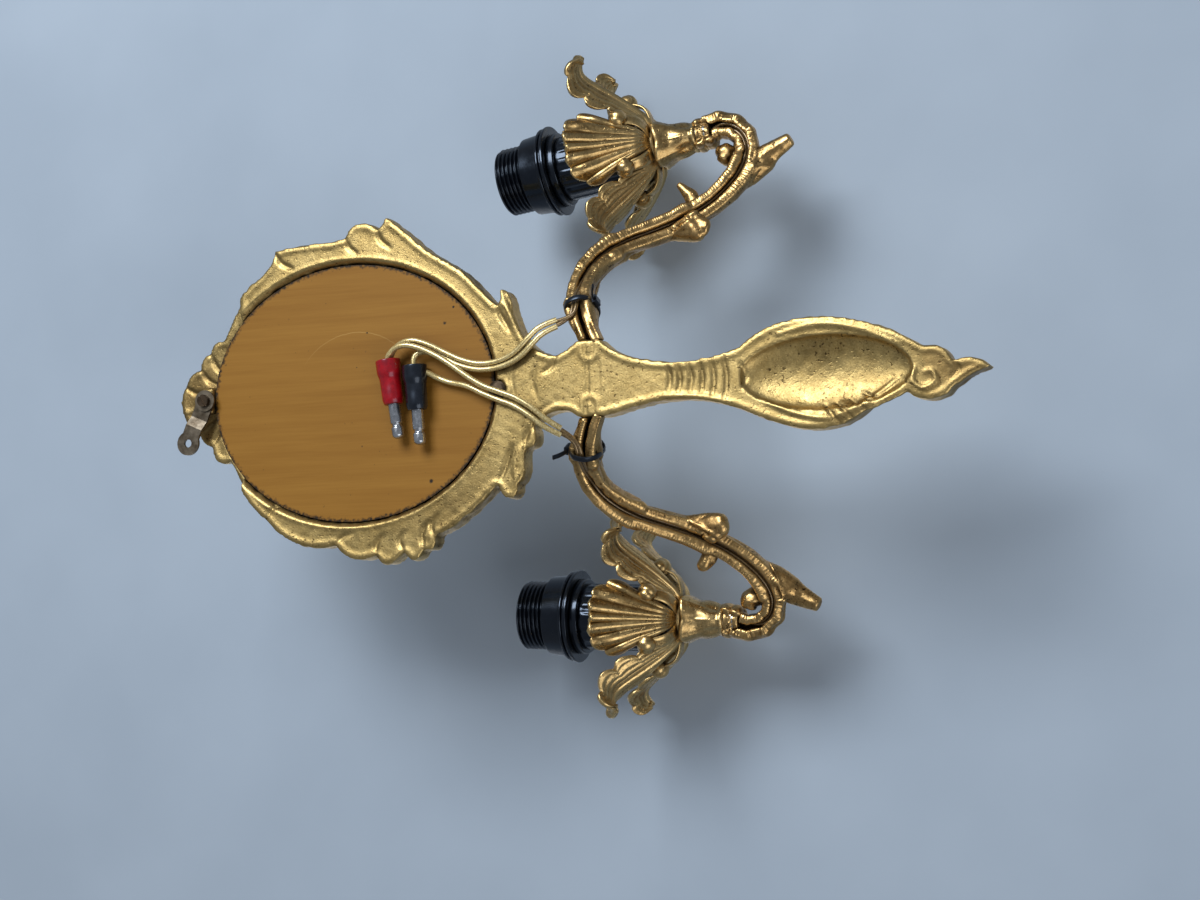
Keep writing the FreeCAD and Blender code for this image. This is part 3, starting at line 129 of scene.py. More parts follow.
class Finish:
    """A material with its node tree, and short ways to add to it."""

    def __init__(self, name, **surface):
        self.material = bpy.data.materials.new(name)
        self.material.use_nodes = True
        self.tree = self.material.node_tree
        self.shader = self.tree.nodes["Principled BSDF"]
        self.out = self.tree.nodes["Material Output"]
        for socket, value in surface.items():
            self.shader.inputs[socket.replace("_", " ")].default_value = value
        self.place = self.node("ShaderNodeTexCoord").outputs["Object"]

    def node(self, kind, settings=None, **inputs):
        made = self.tree.nodes.new(kind)
        for key, value in (settings or {}).items():
            setattr(made, key, value)
        for socket, value in inputs.items():
            self.feed(made.inputs[socket.replace("_", " ")], value)
        return made

    def feed(self, socket, value):
        if isinstance(value, bpy.types.NodeSocket):
            self.tree.links.new(value, socket)
        else:
            socket.default_value = value

    def noise(self, scale, detail=4.0, rough=0.55, stretch=(1, 1, 1)):
        place = self.place
        if stretch != (1, 1, 1):
            place = self.node("ShaderNodeMapping", Vector=place, Scale=stretch).outputs[0]
        return self.node("ShaderNodeTexNoise", Vector=place, Scale=scale, Detail=detail,
                         Roughness=rough).outputs["Fac"]

    def ramp(self, value, *stops):
        """stops: (position, colour or grey)."""
        made = self.node("ShaderNodeValToRGB", Fac=value)
        band = made.color_ramp
        while len(band.elements) < len(stops):
            band.elements.new(0.5)
        for element, (at, shade) in zip(band.elements, stops):
            element.position = at
            element.color = shade if isinstance(shade, tuple) else (shade, shade, shade, 1)
        return made.outputs["Color"]

    def mix(self, amount, a, b, blend="MIX"):
        made = self.node("ShaderNodeMix", {"data_type": "RGBA", "blend_type": blend})
        for socket, value in ((made.inputs[0], amount), (made.inputs[6], a), (made.inputs[7], b)):
            self.feed(socket, value)
        return made.outputs[2]

    def sum(self, a, b, how="ADD"):
        made = self.node("ShaderNodeMath", {"operation": how})
        self.feed(made.inputs[0], a)
        self.feed(made.inputs[1], b)
        return made.outputs[0]

    def times(self, a, b):
        return self.sum(a, b, "MULTIPLY")

    def distance(self, x, y, z):
        """Metres from a point that is given in mm."""
        made = self.node("ShaderNodeVectorMath", {"operation": "DISTANCE"}, Vector=self.place)
        made.inputs[1].default_value = (x / 1000, y / 1000, z / 1000)
        return made.outputs["Value"]

    def colour(self, value):
        self.feed(self.shader.inputs["Base Color"], value)

    def rough(self, value):
        self.feed(self.shader.inputs["Roughness"], value)

    def bump(self, height, depth_mm, strength=1.0):
        """Adds a relief; later calls lie on top of earlier ones."""
        made = self.node("ShaderNodeBump", Height=height, Strength=strength,
                         Distance=depth_mm / 1000.0)
        normal = self.shader.inputs["Normal"]
        if normal.is_linked:
            self.feed(made.inputs["Normal"], normal.links[0].from_socket)
        self.feed(normal, made.outputs["Normal"])


print("finish helpers ready")

# %% [markdown]
# ## Brass
# Three brasses are on this object. The flat back of the casting is pale, sandy and dull, as
# it came from the mould, with dark specks in its pits. The arms are browner, with patina in
# every hollow. The leaves are burnished, so their ridges shine and their furrows stay dark.
# One function makes all three: the hollow is found by ambient occlusion, the pale edge by
# the surface's own pointiness, and two sizes of noise give clouding and pits. The pale edge is
# partly wear and partly a painted highlight along every sharp ridge. The crest and a few other
# places are browner, each a soft round zone given by its centre and reach.

# %% The brass finishes
def brass(name, pale, mid, dark, dull, pit_depth, hollow_reach, wear_and_highlight=0.5, stain=0.8, tarnish=()):
    f = Finish(name, Metallic=1.0)
    cloud = f.noise(70.0, 6.0, 0.62)
    tone = f.ramp(cloud, (0.34, mid), (0.66, pale))
    fine = f.noise(1100.0, 4.0, 0.7)
    tone = f.mix(0.45, tone, f.ramp(fine, (0.34, mid), (0.62, pale)))
    grain = f.ramp(f.noise(2300.0, 2.0, 0.6), (0.40, 0.0), (0.68, 1.0))
    tone = f.mix(f.times(grain, 0.22), tone, dark)
    speck = f.ramp(f.noise(760.0, 2.0, 0.5), (0.60, 0.0), (0.66, 1.0))
    blotch = f.ramp(f.noise(95.0, 4.0, 0.6), (0.42, 0.0), (0.60, 1.0))
    tone = f.mix(f.times(f.times(speck, blotch), stain), tone, dark)
    soot = f.ramp(f.noise(46.0, 5.0, 0.65), (0.54, 0.0), (0.72, 1.0))
    tone = f.mix(f.times(soot, 0.55 * stain), tone, dark)
    for x, z, reach, amount in tarnish:  # browner zones, each round a place on the casting
        uneven = f.times(f.sum(cloud, -0.5), 0.03)
        near = f.ramp(f.times(f.sum(f.distance(x, -4.0, z), uneven), 500.0 / reach),
                      (0.25, amount), (0.75, 0.0))
        tone = f.mix(near, tone, srgb(104, 80, 50))
    hollow = f.node("ShaderNodeAmbientOcclusion", {"samples": 8}, Distance=hollow_reach / 1000.0)
    shade = f.ramp(hollow.outputs["AO"], (0.30, 1.0), (0.88, 0.0))
    tone = f.mix(shade, tone, dark)
    # painted highlight, partly real wear: sharp edges and ridges turn towards the pale brass
    edge = f.ramp(f.node("ShaderNodeNewGeometry").outputs["Pointiness"], (0.505, 0.0), (0.56, 1.0))
    tone = f.mix(f.times(edge, wear_and_highlight), tone, pale)
    f.colour(tone)
    patchy = f.ramp(f.noise(230.0, 4.0, 0.6), (0.3, dull - 0.08), (0.7, dull + 0.10))
    f.rough(f.sum(patchy, f.times(shade, 0.25)))
    f.bump(f.noise(210.0, 5.0, 0.62), 0.16, 0.5)
    f.bump(f.noise(1300.0, 3.0, 0.7), pit_depth, 0.6)
    f.bump(speck, -0.08, 0.5)
    return f.material


cast_brass = brass("cast_brass", srgb(200, 174, 116), srgb(156, 130, 78), srgb(58, 43, 24),
                   0.40, 0.13, 3.6, 0.6, 0.8, [(0, 176, 20, 0.5), (0, -142, 14, 0.5),
                                               (40, 60, 26, 0.2), (16, -105, 14, 0.3)])
arm_brass = brass("arm_brass", srgb(204, 170, 114), srgb(122, 88, 48), srgb(26, 17, 9),
                  0.30, 0.03, 6.5, 0.8, 0.9)
leaf_brass = brass("leaf_brass", srgb(212, 182, 126), srgb(134, 102, 58), srgb(26, 17, 9),
                   0.28, 0.025, 7.0, 0.9, 0.7)
print("three brasses made")

# %% [markdown]
# ## The mirror's back, and the small metals
# The glass is silvered and its back wears an orange-brown protective paint, brushed on, so
# it has fine streaks, a few black specks where it has flaked, a ragged dark edge and one thin
# curved scratch: each is drawn as a distance from a point or an oval. The strap is dull
# steel. The pins of the plugs are nickel, which is a smooth grey metal.

# %% Paint, glass and steels
PAINT_FACE = -1.8  # the height of the painted face, in mm


def backing_paint():
    f = Finish("backing_paint", Roughness=0.55, Specular_IOR_Level=0.22)
    streak = f.noise(1500.0, 4.0, 0.6, stretch=(1.0, 1.0, 0.03))
    band = f.noise(220.0, 3.0, 0.5, stretch=(1.0, 1.0, 0.06))
    tone = f.ramp(band, (0.30, srgb(130, 88, 26)), (0.70, srgb(140, 98, 34)))
    tone = f.mix(0.14, tone, f.ramp(streak, (0.35, srgb(114, 76, 20)), (0.65, srgb(152, 110, 46))))
    speck = f.ramp(f.noise(520.0, 2.0, 0.5), (0.715, 0.0), (0.735, 1.0))
    patch = f.ramp(f.noise(60.0, 3.0, 0.5), (0.50, 0.0), (0.60, 1.0))
    marks = f.times(speck, patch)
    # flaked spots, and the ragged edge where damp has crept under the paint
    ragged = f.sum(f.times(f.noise(420.0, 3.0, 0.6), 0.0030), -0.0015)
    for x, z, radius in ((-25.5, 62.0, 1.5), (37.0, 68.5, 1.9), (-32.0, 58.0, 0.9),
                         (33.5, 71.0, 0.7), (-24.0, 96.0, 0.6), (-14.5, 52.5, 0.7)):
        reach = f.sum(f.distance(x, PAINT_FACE, z), ragged)
        marks = f.sum(marks, f.ramp(f.times(reach, 1000.0),
                                    (0.0, 1.0), (min(1.0, radius * 0.5), 0.0)), "MAXIMUM")
    oval = f.node("ShaderNodeMapping", Vector=f.place, Location=(0, 0, -103.2 / 62.4),
                  Scale=(1000 / 52.0, 0.0, 1000 / 62.4)).outputs[0]
    rim = f.node("ShaderNodeVectorMath", {"operation": "LENGTH"}, Vector=oval).outputs["Value"]
    rim = f.sum(rim, f.times(f.noise(700.0, 3.0, 0.7), 0.09))
    marks = f.sum(marks, f.ramp(f.sum(rim, -0.5), (0.520, 0.0), (0.545, 1.0)), "MAXIMUM")
    # one fine curved scratch, a thin arc of a wide circle
    arc = f.sum(f.distance(4.0, PAINT_FACE, 101.0), f.times(ragged, 0.25))
    off = f.times(f.sum(arc, -0.0285), 1000.0)
    thin = f.ramp(f.sum(off, 0.5), (0.26, 0.0), (0.5, 1.0), (0.74, 0.0))
    side = f.node("ShaderNodeSeparateXYZ", Vector=f.place).outputs["X"]
    part = f.ramp(f.times(f.sum(side, 0.030), 30.0), (0.05, 1.0), (0.55, 0.0))
    tone = f.mix(f.times(f.times(thin, part), 0.5), tone, srgb(196, 160, 96))
    f.colour(f.mix(marks, tone, srgb(34, 25, 16)))
    f.bump(streak, 0.04, 0.35)
    f.bump(marks, -0.05, 0.5)
    return f.material


def silvered_glass():
    f = Finish("silvered_glass", Metallic=1.0)
    haze = f.noise(30.0, 3.0, 0.5)
    f.colour(f.ramp(haze, (0.3, srgb(222, 226, 228)), (0.7, srgb(240, 242, 242))))
    f.rough(f.ramp(haze, (0.3, 0.012), (0.7, 0.035)))
    return f.material


def steel(name, light, dark, dull, scratch=0.03):
    f = Finish(name, Metallic=0.95)
    cloud = f.noise(300.0, 4.0, 0.6)
    f.colour(f.ramp(cloud, (0.3, dark), (0.7, light)))
    f.rough(f.ramp(f.noise(700.0, 3.0, 0.6), (0.3, dull - 0.08), (0.7, dull + 0.1)))
    f.bump(f.noise(2400.0, 2.0, 0.6, stretch=(1.0, 1.0, 0.2)), scratch, 0.5)
    return f.material


paint = backing_paint()
glass = silvered_glass()
strap_steel = steel("strap_steel", srgb(122, 112, 98), srgb(72, 62, 50), 0.42)
screw_steel = steel("screw_steel", srgb(86, 72, 58), srgb(44, 36, 28), 0.38)
plated_steel = steel("plated_steel", srgb(190, 188, 180), srgb(150, 146, 136), 0.30)
nickel = steel("nickel", srgb(196, 200, 206), srgb(150, 154, 162), 0.24, 0.01)
sheet_brass = steel("sheet_brass", srgb(226, 196, 128), srgb(190, 156, 92), 0.28)
print("paint, glass and steels made")

# %% [markdown]
# ## Mouldings and insulation
# The lampholders are glossy black thermoset, almost without texture: a faint mottle and a
# few dulled patches keep them from looking wet. The plugs' sleeves are soft red and black
# plastic. The flex has clear insulation over a gold-coloured strand: a coat over a core
# with its fine wires. Deep in the arms the flex lies in shade, so it gets a darker copy of its
# finish there: painted shade. Both turn brown where ambient occlusion finds a hollow or a
# surface close by, which is painted shade too.

# %% The plastics
def moulding(name, light, dark, dull, coat=0.0):
    f = Finish(name, Coat_Weight=coat, Coat_Roughness=0.08, Specular_Tint=(0.6, 0.75, 1.0, 1.0))
    mottle = f.noise(420.0, 4.0, 0.6)
    f.colour(f.ramp(mottle, (0.3, dark), (0.7, light)))
    f.rough(f.ramp(f.noise(130.0, 4.0, 0.6), (0.35, dull - 0.05), (0.7, dull + 0.12)))
    f.bump(f.noise(1800.0, 3.0, 0.6), 0.006, 0.3)
    return f.material


def clear_flex(name, strand_dark, strand_pale, gloss):
    """Clear insulation is a coat; the fine gold wires inside show as slanting lines."""
    f = Finish(name, Metallic=0.55, Coat_Weight=gloss, Coat_Roughness=0.06)
    f.rough(f.ramp(f.noise(800.0, 3.0, 0.6), (0.3, 0.22), (0.7, 0.38)))
    strand = f.noise(1900.0, 3.0, 0.6)
    # painted shade: the flex turns brown where ambient occlusion finds a hollow or a surface close
    # by
    hollow = f.node("ShaderNodeAmbientOcclusion", {"samples": 8}, Distance=0.006)
    shade = f.ramp(hollow.outputs["AO"], (0.15, 1.0), (0.55, 0.0))
    tone = f.ramp(strand, (0.32, strand_dark), (0.66, strand_pale))
    f.colour(f.mix(shade, tone, srgb(66, 48, 26)))
    f.bump(strand, 0.05, 0.5)
    return f.material


black_moulding = moulding("black_moulding", srgb(7, 9, 14), srgb(2, 3, 6), 0.18, 0.12)
black_tie = moulding("black_tie", srgb(24, 24, 26), srgb(12, 12, 14), 0.34)
red_sleeve = moulding("red_sleeve", srgb(158, 10, 18), srgb(118, 5, 12), 0.30, 0.25)
black_sleeve = moulding("black_sleeve", srgb(22, 24, 30), srgb(9, 11, 15), 0.26, 0.3)
flex = clear_flex("clear_flex", srgb(160, 132, 72), srgb(224, 206, 150), 0.8)
# a darker copy of the clear flex for the flex in the arms: painted shade
painted_shade_flex = clear_flex("painted_shade_flex", srgb(84, 64, 36), srgb(136, 112, 74), 0.45)
print("plastics made")

# %% [markdown]
# ## Mesh helpers
# The pieces that are cast, moulded or bent freely get a mesh of their own here. Four helpers
# cover them all. One puts a mesh into the scene in place of its CAD piece and lets it move
# with the same body. One makes the faces of a grid of points. One turns an outline about an
# axis, which is how mouldings and turned metal are made. One draws a smooth line through a
# few points, evenly spaced, which is how a leaf's midrib or a wire runs.

# %% Helpers for meshes
def stand_in(name, verts, faces, finish, nodes, crease=None, even=False):
    """A mesh in millimetres, in the frame, that is shown instead of these CAD pieces."""
    mesh = bpy.data.meshes.new(name)
    mesh.from_pydata([(x / 1000, y / 1000, z / 1000) for x, y, z in verts], [], faces)
    shape = bmesh.new()
    shape.from_mesh(mesh)
    bmesh.ops.recalc_face_normals(shape, faces=shape.faces)
    shape.to_mesh(mesh)
    shape.free()
    mesh.polygons.foreach_set("use_smooth", [True] * len(mesh.polygons))
    if crease is not None:
        mesh.set_sharp_from_angle(angle=math.radians(crease))
    mesh.materials.append(finish)
    made = bpy.data.objects.new(name, mesh)
    bpy.context.scene.collection.objects.link(made)
    take_place(made, nodes)
    if even:
        made.modifiers.new("even", "WEIGHTED_NORMAL").keep_sharp = True
    return made


def take_place(made, nodes):
    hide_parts(*nodes)
    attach(made, body_of(frame["nodes"][nodes[0]])[0])


def grid_faces(rows, cols, wrap_rows=False, wrap_cols=False, start=0):
    faces = []
    for i in range(rows if wrap_rows else rows - 1):
        for j in range(cols if wrap_cols else cols - 1):
            k, n = (j + 1) % cols, (i + 1) % rows
            faces.append(tuple(start + a * cols + b for a, b in ((i, j), (i, k), (n, k), (n, j))))
    return faces


def add_mesh(verts, faces, more, mesh):
    """Puts another mesh behind the points and faces gathered so far."""
    faces += [tuple(len(verts) + c for c in face) for face in mesh]
    verts += more


def rounded(corners, radius, steps=3, closed=True):
    """Takes the sharp edge off every corner of an outline."""
    out, count = [], len(corners)
    for i, here in enumerate(corners):
        if not closed and i in (0, count - 1):
            out.append(tuple(here))
            continue
        before, after = np.array(corners[i - 1], float), np.array(corners[(i + 1) % count], float)
        here = np.array(here, float)
        back, ahead = np.linalg.norm(before - here), np.linalg.norm(after - here)
        cut = min(radius, 0.42 * back, 0.42 * ahead)
        a, b = here + (before - here) * cut / back, here + (after - here) * cut / ahead
        for t in np.linspace(0, 1, steps + 1):
            out.append(tuple((1 - t) ** 2 * a + 2 * t * (1 - t) * here + t * t * b))
    return out


def lathe(outline, place, turns=96, shape_at=None, closed=True):
    """Points and faces of an outline (radius, height) turned about the axis of a place."""
    verts = []
    for r, h in outline:
        for k in range(turns):
            a = 2 * math.pi * k / turns
            rr, hh = shape_at(r, h, a) if shape_at else (r, h)
            verts.append(place @ Vector((rr * math.cos(a), rr * math.sin(a), hh)))
    return verts, grid_faces(len(outline), turns, closed, True)


def smooth_line(points, count):
    """Evenly spaced points on a smooth curve through the given points, and its length."""
    p = np.array(points, float)
    p = np.vstack([2 * p[0] - p[1], p, 2 * p[-1] - p[-2]])
    t = np.linspace(0, 1, 24, endpoint=False)[:, None]
    fine = []
    for a, b, c, d in zip(p, p[1:], p[2:], p[3:]):
        fine.append(0.5 * (2 * b + (c - a) * t + (2 * a - 5 * b + 4 * c - d) * t ** 2
                           + (3 * b - a - 3 * c + d) * t ** 3))
    fine = np.vstack(fine + [p[-2:-1]])
    run = np.r_[0, np.cumsum(np.linalg.norm(np.diff(fine, axis=0), axis=1))]
    at = np.linspace(0, run[-1], count)
    return np.column_stack([np.interp(at, run, fine[:, k]) for k in range(p.shape[1])]), run[-1]


SIGN = {"left": -1.0, "right": 1.0}
CANDLE_FOOT = {"left": (-104.0, -58.0, -28.0), "right": (94.0, -58.0, -35.0)}
CANDLE_LEAN = {"left": 8.0, "right": -2.5}  # degrees about Y, as the photograph shows them


def candle_place(side):
    """The candle axis of one side: its foot, in mm, and its lean."""
    lean = math.radians(CANDLE_LEAN[side])
    return Matrix.Translation(CANDLE_FOOT[side]) @ Matrix.Rotation(lean, 4, "Y")


print("mesh helpers ready; the candles lean", CANDLE_LEAN, "degrees")

# %% [markdown]
# ## The lampholders
# Each holder is four mouldings. The rear cap is a pot with broad shallow ribs that the fingers
# grip. The sleeve carries a coarse outside thread: a ridge whose height follows the angle, so
# that it climbs one pitch with every turn. The shade ring has two rims with a groove between
# them, and a plain skirt. All edges are eased, as they come from a moulding tool.

# %% Lampholder mouldings
CAP_FOOT, CAP_TOP, NECK_TOP, SLEEVE_TOP, PITCH = 23.8, 58.8, 70.2, 86.0, 1.85


def cap_rib(r, h, a):
    """Sixteen shallow ribs on the wall of the pot, none near its rims."""
    if r < 12.9 or not CAP_FOOT + 3.0 < h < CAP_TOP - 2.0:
        return r, h
    wave = math.cos(16 * a)
    return r - 0.45 * (0.5 - 0.5 * math.tanh(4 * (wave - 0.15))), h


def thread(r, h, a):
    """The ridge climbs with the angle and fades out at both ends."""
    if r < 13.25 or not NECK_TOP - 1.0 < h < SLEEVE_TOP:
        return r, h
    ends = min(1.0, max(0.0, h - NECK_TOP) / 0.8, (SLEEVE_TOP - 0.2 - h) / 0.8)
    turn = (h / PITCH - a / (2 * math.pi)) % 1.0
    ridge = (0.5 + 0.5 * math.cos(2 * math.pi * turn)) ** 0.8
    return 12.95 + 1.15 * max(0.0, ends) * ridge + 0.33 * (1 - max(0.0, ends)), h


def holder(side):
    place, tail = candle_place(side), "_" + side
    wall = [(13.6, h) for h in np.linspace(CAP_FOOT + 1.8, CAP_TOP - 0.5, 22)]
    cap = rounded([(5.05, CAP_FOOT), (12.2, CAP_FOOT), (13.6, CAP_FOOT + 1.4)], 0.9)[:12]
    cap += wall + [(13.3, CAP_TOP), (12.0, CAP_TOP), (12.0, CAP_FOOT + 6), (5.05, CAP_FOOT + 6)]
    verts, faces = lathe(cap, place, 192, cap_rib)
    stand_in("rear_cap" + tail, verts, faces, black_moulding, ["holder_cap" + tail], 50)

    neck = [(13.28, h) for h in np.arange(NECK_TOP - 0.9, SLEEVE_TOP - 0.1, 0.12)]
    sleeve = rounded([(8.3, CAP_TOP + 0.01), (15.4, CAP_TOP + 0.01), (15.4, CAP_TOP + 3.2),
                      (13.28, CAP_TOP + 3.2), (13.28, NECK_TOP - 1.2)], 0.5)[4:-4]
    sleeve += neck + [(13.0, SLEEVE_TOP), (9.3, SLEEVE_TOP), (8.3, SLEEVE_TOP - 0.8),
                      (8.3, CAP_TOP + 0.4)]
    verts, faces = lathe(sleeve, place, 144, thread)
    stand_in("threaded_sleeve" + tail, verts, faces, black_moulding, ["holder_sleeve" + tail], 60)

    low = CAP_TOP + 3.3
    ring = rounded([(14.3, low), (19.0, low), (19.0, low + 1.3), (17.5, low + 1.75),
                    (17.5, low + 2.2), (18.5, low + 2.6), (18.5, low + 3.6), (16.85, low + 3.9),
                    (16.1, low + 12.0), (14.3, low + 12.0)], 0.42, 4)
    verts, faces = lathe(ring, place, 144)
    stand_in("shade_ring" + tail + "_turned", verts, faces, black_moulding,
             ["shade_ring" + tail], None, True)


for side in SIDES:
    holder(side)
print("holders made; thread pitch", PITCH, "mm")

# %% [markdown]
# ## Leaves
# A cast leaf is a sheet that follows its midrib. Two kinds stand round each holder. An
# acanthus leaf has five lobes on each side; its veins run forward from the midrib, and its
# tip rolls outward. A shell leaf is a fan of flutes that spread from its root, each ending in
# a scallop. Both are drawn as a grid of points, and a solidify modifier gives them the
# thickness of the casting. Curled leaflets that end in a rolled bud fill the gaps.

# %% Acanthus and shell leaves
HUB, LEAF_FOOT = 7.0, 18.7  # where a leaf starts: out from the axis, and up, in mm
LEAF_WALL = 0.0017
ACANTHUS = [(0, 0), (.17, .08), (.34, .27), (.52, .52), (.66, .74), (.79, .93), (.90, 1.03),
            (1.0, 1.05), (1.07, .98), (1.08, .88)]
SHELL = [(0, 0), (.40, .08), (.56, .26), (.70, .50), (.83, .74), (.96, .93), (1.08, 1.02),
         (1.17, 1.01)]


def on_spine(steps, reach, rise):
    """A function from a distance along the midrib to its point and its upward normal."""
    line, length = smooth_line([(HUB + (reach - HUB) * o, LEAF_FOOT + rise * u)
                                for o, u in steps], 160)
    ahead = np.gradient(line, axis=0)
    ahead /= np.linalg.norm(ahead, axis=1)[:, None]
    run = np.linspace(0, length, 160)

    def at(along):
        return [np.interp(along, run, c) for c in (line[:, 0], line[:, 1], -ahead[:, 1],
                                                   ahead[:, 0])]
    return at, length


def acanthus(reach, rise, half_width, seed, rows=96, cols=57):
    at, length = on_spine(ACANTHUS, reach, rise)
    dice = random.Random(seed)
    twist = dice.uniform(-0.06, 0.06)
    verts = []
    for i in range(rows):
        u = i / (rows - 1)
        envelope = np.interp(u, [0, .10, .24, .40, .55, .70, .84, .94, 1.0],
                             [.24, .34, .56, .90, 1.0, .96, .80, .52, .12])
        lobe = (4.4 * u + 0.30) % 1.0
        notch = math.sin(math.pi * lobe ** 0.75) ** 0.5
        for j in range(cols):
            v = 2 * j / (cols - 1) - 1
            edge = abs(v)
            width = half_width * envelope * (1 - 0.36 * (1 - notch) * edge ** 1.5)
            along = u * length + 0.45 * edge * width * (1 - u ** 3)
            out, up, lean_out, lean_up = at(min(along, length))
            relief = 0.24 * width * edge ** 2
            relief -= 1.15 * math.exp(-(v / 0.07) ** 2) * (1 - 0.6 * u)
            relief += 0.85 * (notch - 0.6) * edge ** 1.5 * (0.35 + 0.65 * envelope)
            rib = abs(math.sin(math.pi * 4.5 * edge ** 0.85)) ** 0.6
            relief += 0.85 * (rib - 0.6) * (1 - 0.45 * u) * min(1, 9 * u + 0.2)
            relief += 1.0 * math.sin(3.1 * u + 5 * v * twist) * edge ** 3
            relief -= 1.3 * math.exp(-((u - 0.90) / 0.10) ** 2) * (1 - edge ** 2)
            verts.append((out + relief * lean_out, v * width + twist * (out - HUB),
                          up + relief * lean_up))
    return verts, grid_faces(rows, cols)


def shell(reach, rise, half_width, flutes=7, rows=64, cols=155):
    """A fan of round lobes; their valleys are narrow and all run to one root on the cup."""
    at, length = on_spine(SHELL, reach, rise)
    root = 1.0
    spread = math.atan2(half_width, 0.66 * (length - root))
    verts = []
    for i in range(rows):
        t = i / (rows - 1)
        for j in range(cols):
            v = 2 * j / (cols - 1) - 1
            phase = flutes * (v + 1) / 2 + 0.18 * math.sin(2 * math.pi * v)
            flute = abs(math.sin(math.pi * phase)) ** 0.55
            fine = abs(math.sin(3 * math.pi * phase))
            far = (length - root) * (1 - 0.24 * abs(v) ** 2.2) - 3.4 * (1 - flute) * t ** 3
            fan = spread * v * (0.72 + 0.28 * t)
            across = t * far * math.sin(fan) + 1.6 * v * (1 - t)
            along = min(length, root + t * far * math.cos(fan))
            out, up, lean_out, lean_up = at(along)
            relief = 0.030 * across ** 2 - 2.9 * (flute - 0.5) * t ** 0.8 * (1 - 0.25 * t)
            relief -= 0.10 * (fine - 0.5) * t * (1 - t) * 2.5
            relief -= 1.1 * math.exp(-((t - 0.84) / 0.13) ** 2) * flute
            verts.append((out + relief * lean_out, across, up + relief * lean_up))
    return verts, grid_faces(rows, cols)


def rolled_bud(centre, radius, rows=22, cols=36):
    """A ball like a rolled-up leaf tip, with a spiral furrow round its sideways axis."""
    verts = []
    for i in range(rows):
        tilt = math.pi * (i + 0.02) / (rows - 0.96)
        for j in range(cols):
            a = 2 * math.pi * j / cols
            furrow = math.exp(-(((a / math.pi * 0.5 + 2.6 * i / rows) % 1.0 - 0.5) / 0.13) ** 2)
            r = radius * (1 - 0.11 * furrow * math.sin(tilt))
            verts.append((centre[0] + r * math.sin(tilt) * math.cos(a),
                          centre[1] + 1.05 * r * math.cos(tilt),
                          centre[2] + r * math.sin(tilt) * math.sin(a)))
    return verts, grid_faces(rows, cols, False, True)


def curl(reach, rise, radius, rows=20, cols=14):
    """The stalk under a bud: a fluted ribbon that narrows as it climbs."""
    line, _ = smooth_line([(HUB + (reach - HUB) * o, LEAF_FOOT - 0.3 + rise * u) for o, u in
                           [(0, 0), (.48, .08), (.80, .34), (1.0, .95)]], rows)
    ahead = np.gradient(line, axis=0)
    verts = []
    for i, (out, up) in enumerate(line):
        slope = ahead[i] / np.linalg.norm(ahead[i])
        wide = radius * (0.95 - 0.25 * i / rows)
        for j in range(cols):
            a = 2 * math.pi * j / cols
            thick = 0.85 * (1 - 0.35 * math.cos(2 * a) ** 2)
            verts.append((out - slope[1] * thick * math.sin(a), wide * math.cos(a),
                          up + slope[0] * thick * math.sin(a)))
    return verts, grid_faces(rows, cols, False, True)


def spun_round(place, angle, verts):
    turn = place @ Matrix.Rotation(math.radians(angle), 4, "Z")
    return [turn @ Vector(v) for v in verts]


def leaf_pan(side):
    place, node = candle_place(side), "leaf_pan_" + side
    sheets, faces, solids, solid_faces = [], [], [], []
    for angle in (90, 270):
        verts, mesh = shell(29.5, 28.0, 15.0)
        add_mesh(sheets, faces, spun_round(place, angle, verts), mesh)
    for k, angle in enumerate((30, 150, 210, 330)):
        verts, mesh = acanthus(40.0, 22.0, 11.0, k + (5 if side == "left" else 0))
        add_mesh(sheets, faces, spun_round(place, angle, verts), mesh)
    leaves = stand_in("leaves_" + side, sheets, faces, leaf_brass, [node])
    wall = leaves.modifiers.new("casting wall", "SOLIDIFY")
    wall.thickness, wall.offset, wall.use_even_offset = LEAF_WALL, 0.0, False
    for k in range(6):
        for verts, mesh in (curl(20.0, 8.5, 3.3), rolled_bud((20.5, 0, LEAF_FOOT + 9.0), 4.0)):
            add_mesh(solids, solid_faces, spun_round(place, 60 * k, verts), mesh)
    hub = rounded([(5.05, 17.0), (8.6, 17.0), (9.1, 18.7), (8.6, 20.4), (5.05, 20.4)], 0.5)
    verts, mesh = lathe(hub, place, 64)
    add_mesh(solids, solid_faces, verts, mesh)
    stand_in("hub_and_buds_" + side, solids, solid_faces, leaf_brass, [node])


for side in SIDES:
    leaf_pan(side)
print("two pans: 2 shells, 4 acanthus leaves and 6 buds each")

# %% [markdown]
# ## Candle cups
# The cup is a calyx: four broad petals below, and four more between them that flare to the
# rim. Turned, it would be a plain bell, so the radius also follows the angle: it swells in
# the middle of each petal, with a fine ridge, and sinks between two of them.

# %% The cups
def petal(r, h, a):
    """Swells the bell into petals; the inside of the bore stays round."""
    if r < 5.3:
        return r, h
    low = 0.5 + 0.5 * math.cos(4 * a)
    high = 0.5 - 0.5 * math.cos(4 * a)
    t = min(1.0, max(0.0, h / 17.0))
    swell = (low ** 0.6 * math.sin(math.pi * min(1, t / 0.62)) * 1.3 if t < 0.62 else 0.0)
    swell += (high ** 0.6) * 2.3 * max(0.0, t - 0.25)
    ridge = 0.35 * math.exp(-((math.sin(2 * a)) / 0.13) ** 2) * math.sin(math.pi * min(1, t))
    ridge += 0.35 * math.exp(-((math.cos(2 * a)) / 0.13) ** 2) * t
    return r - 0.55 + swell + ridge, h + (0.9 * (high - 0.5) if t > 0.8 else 0.0)


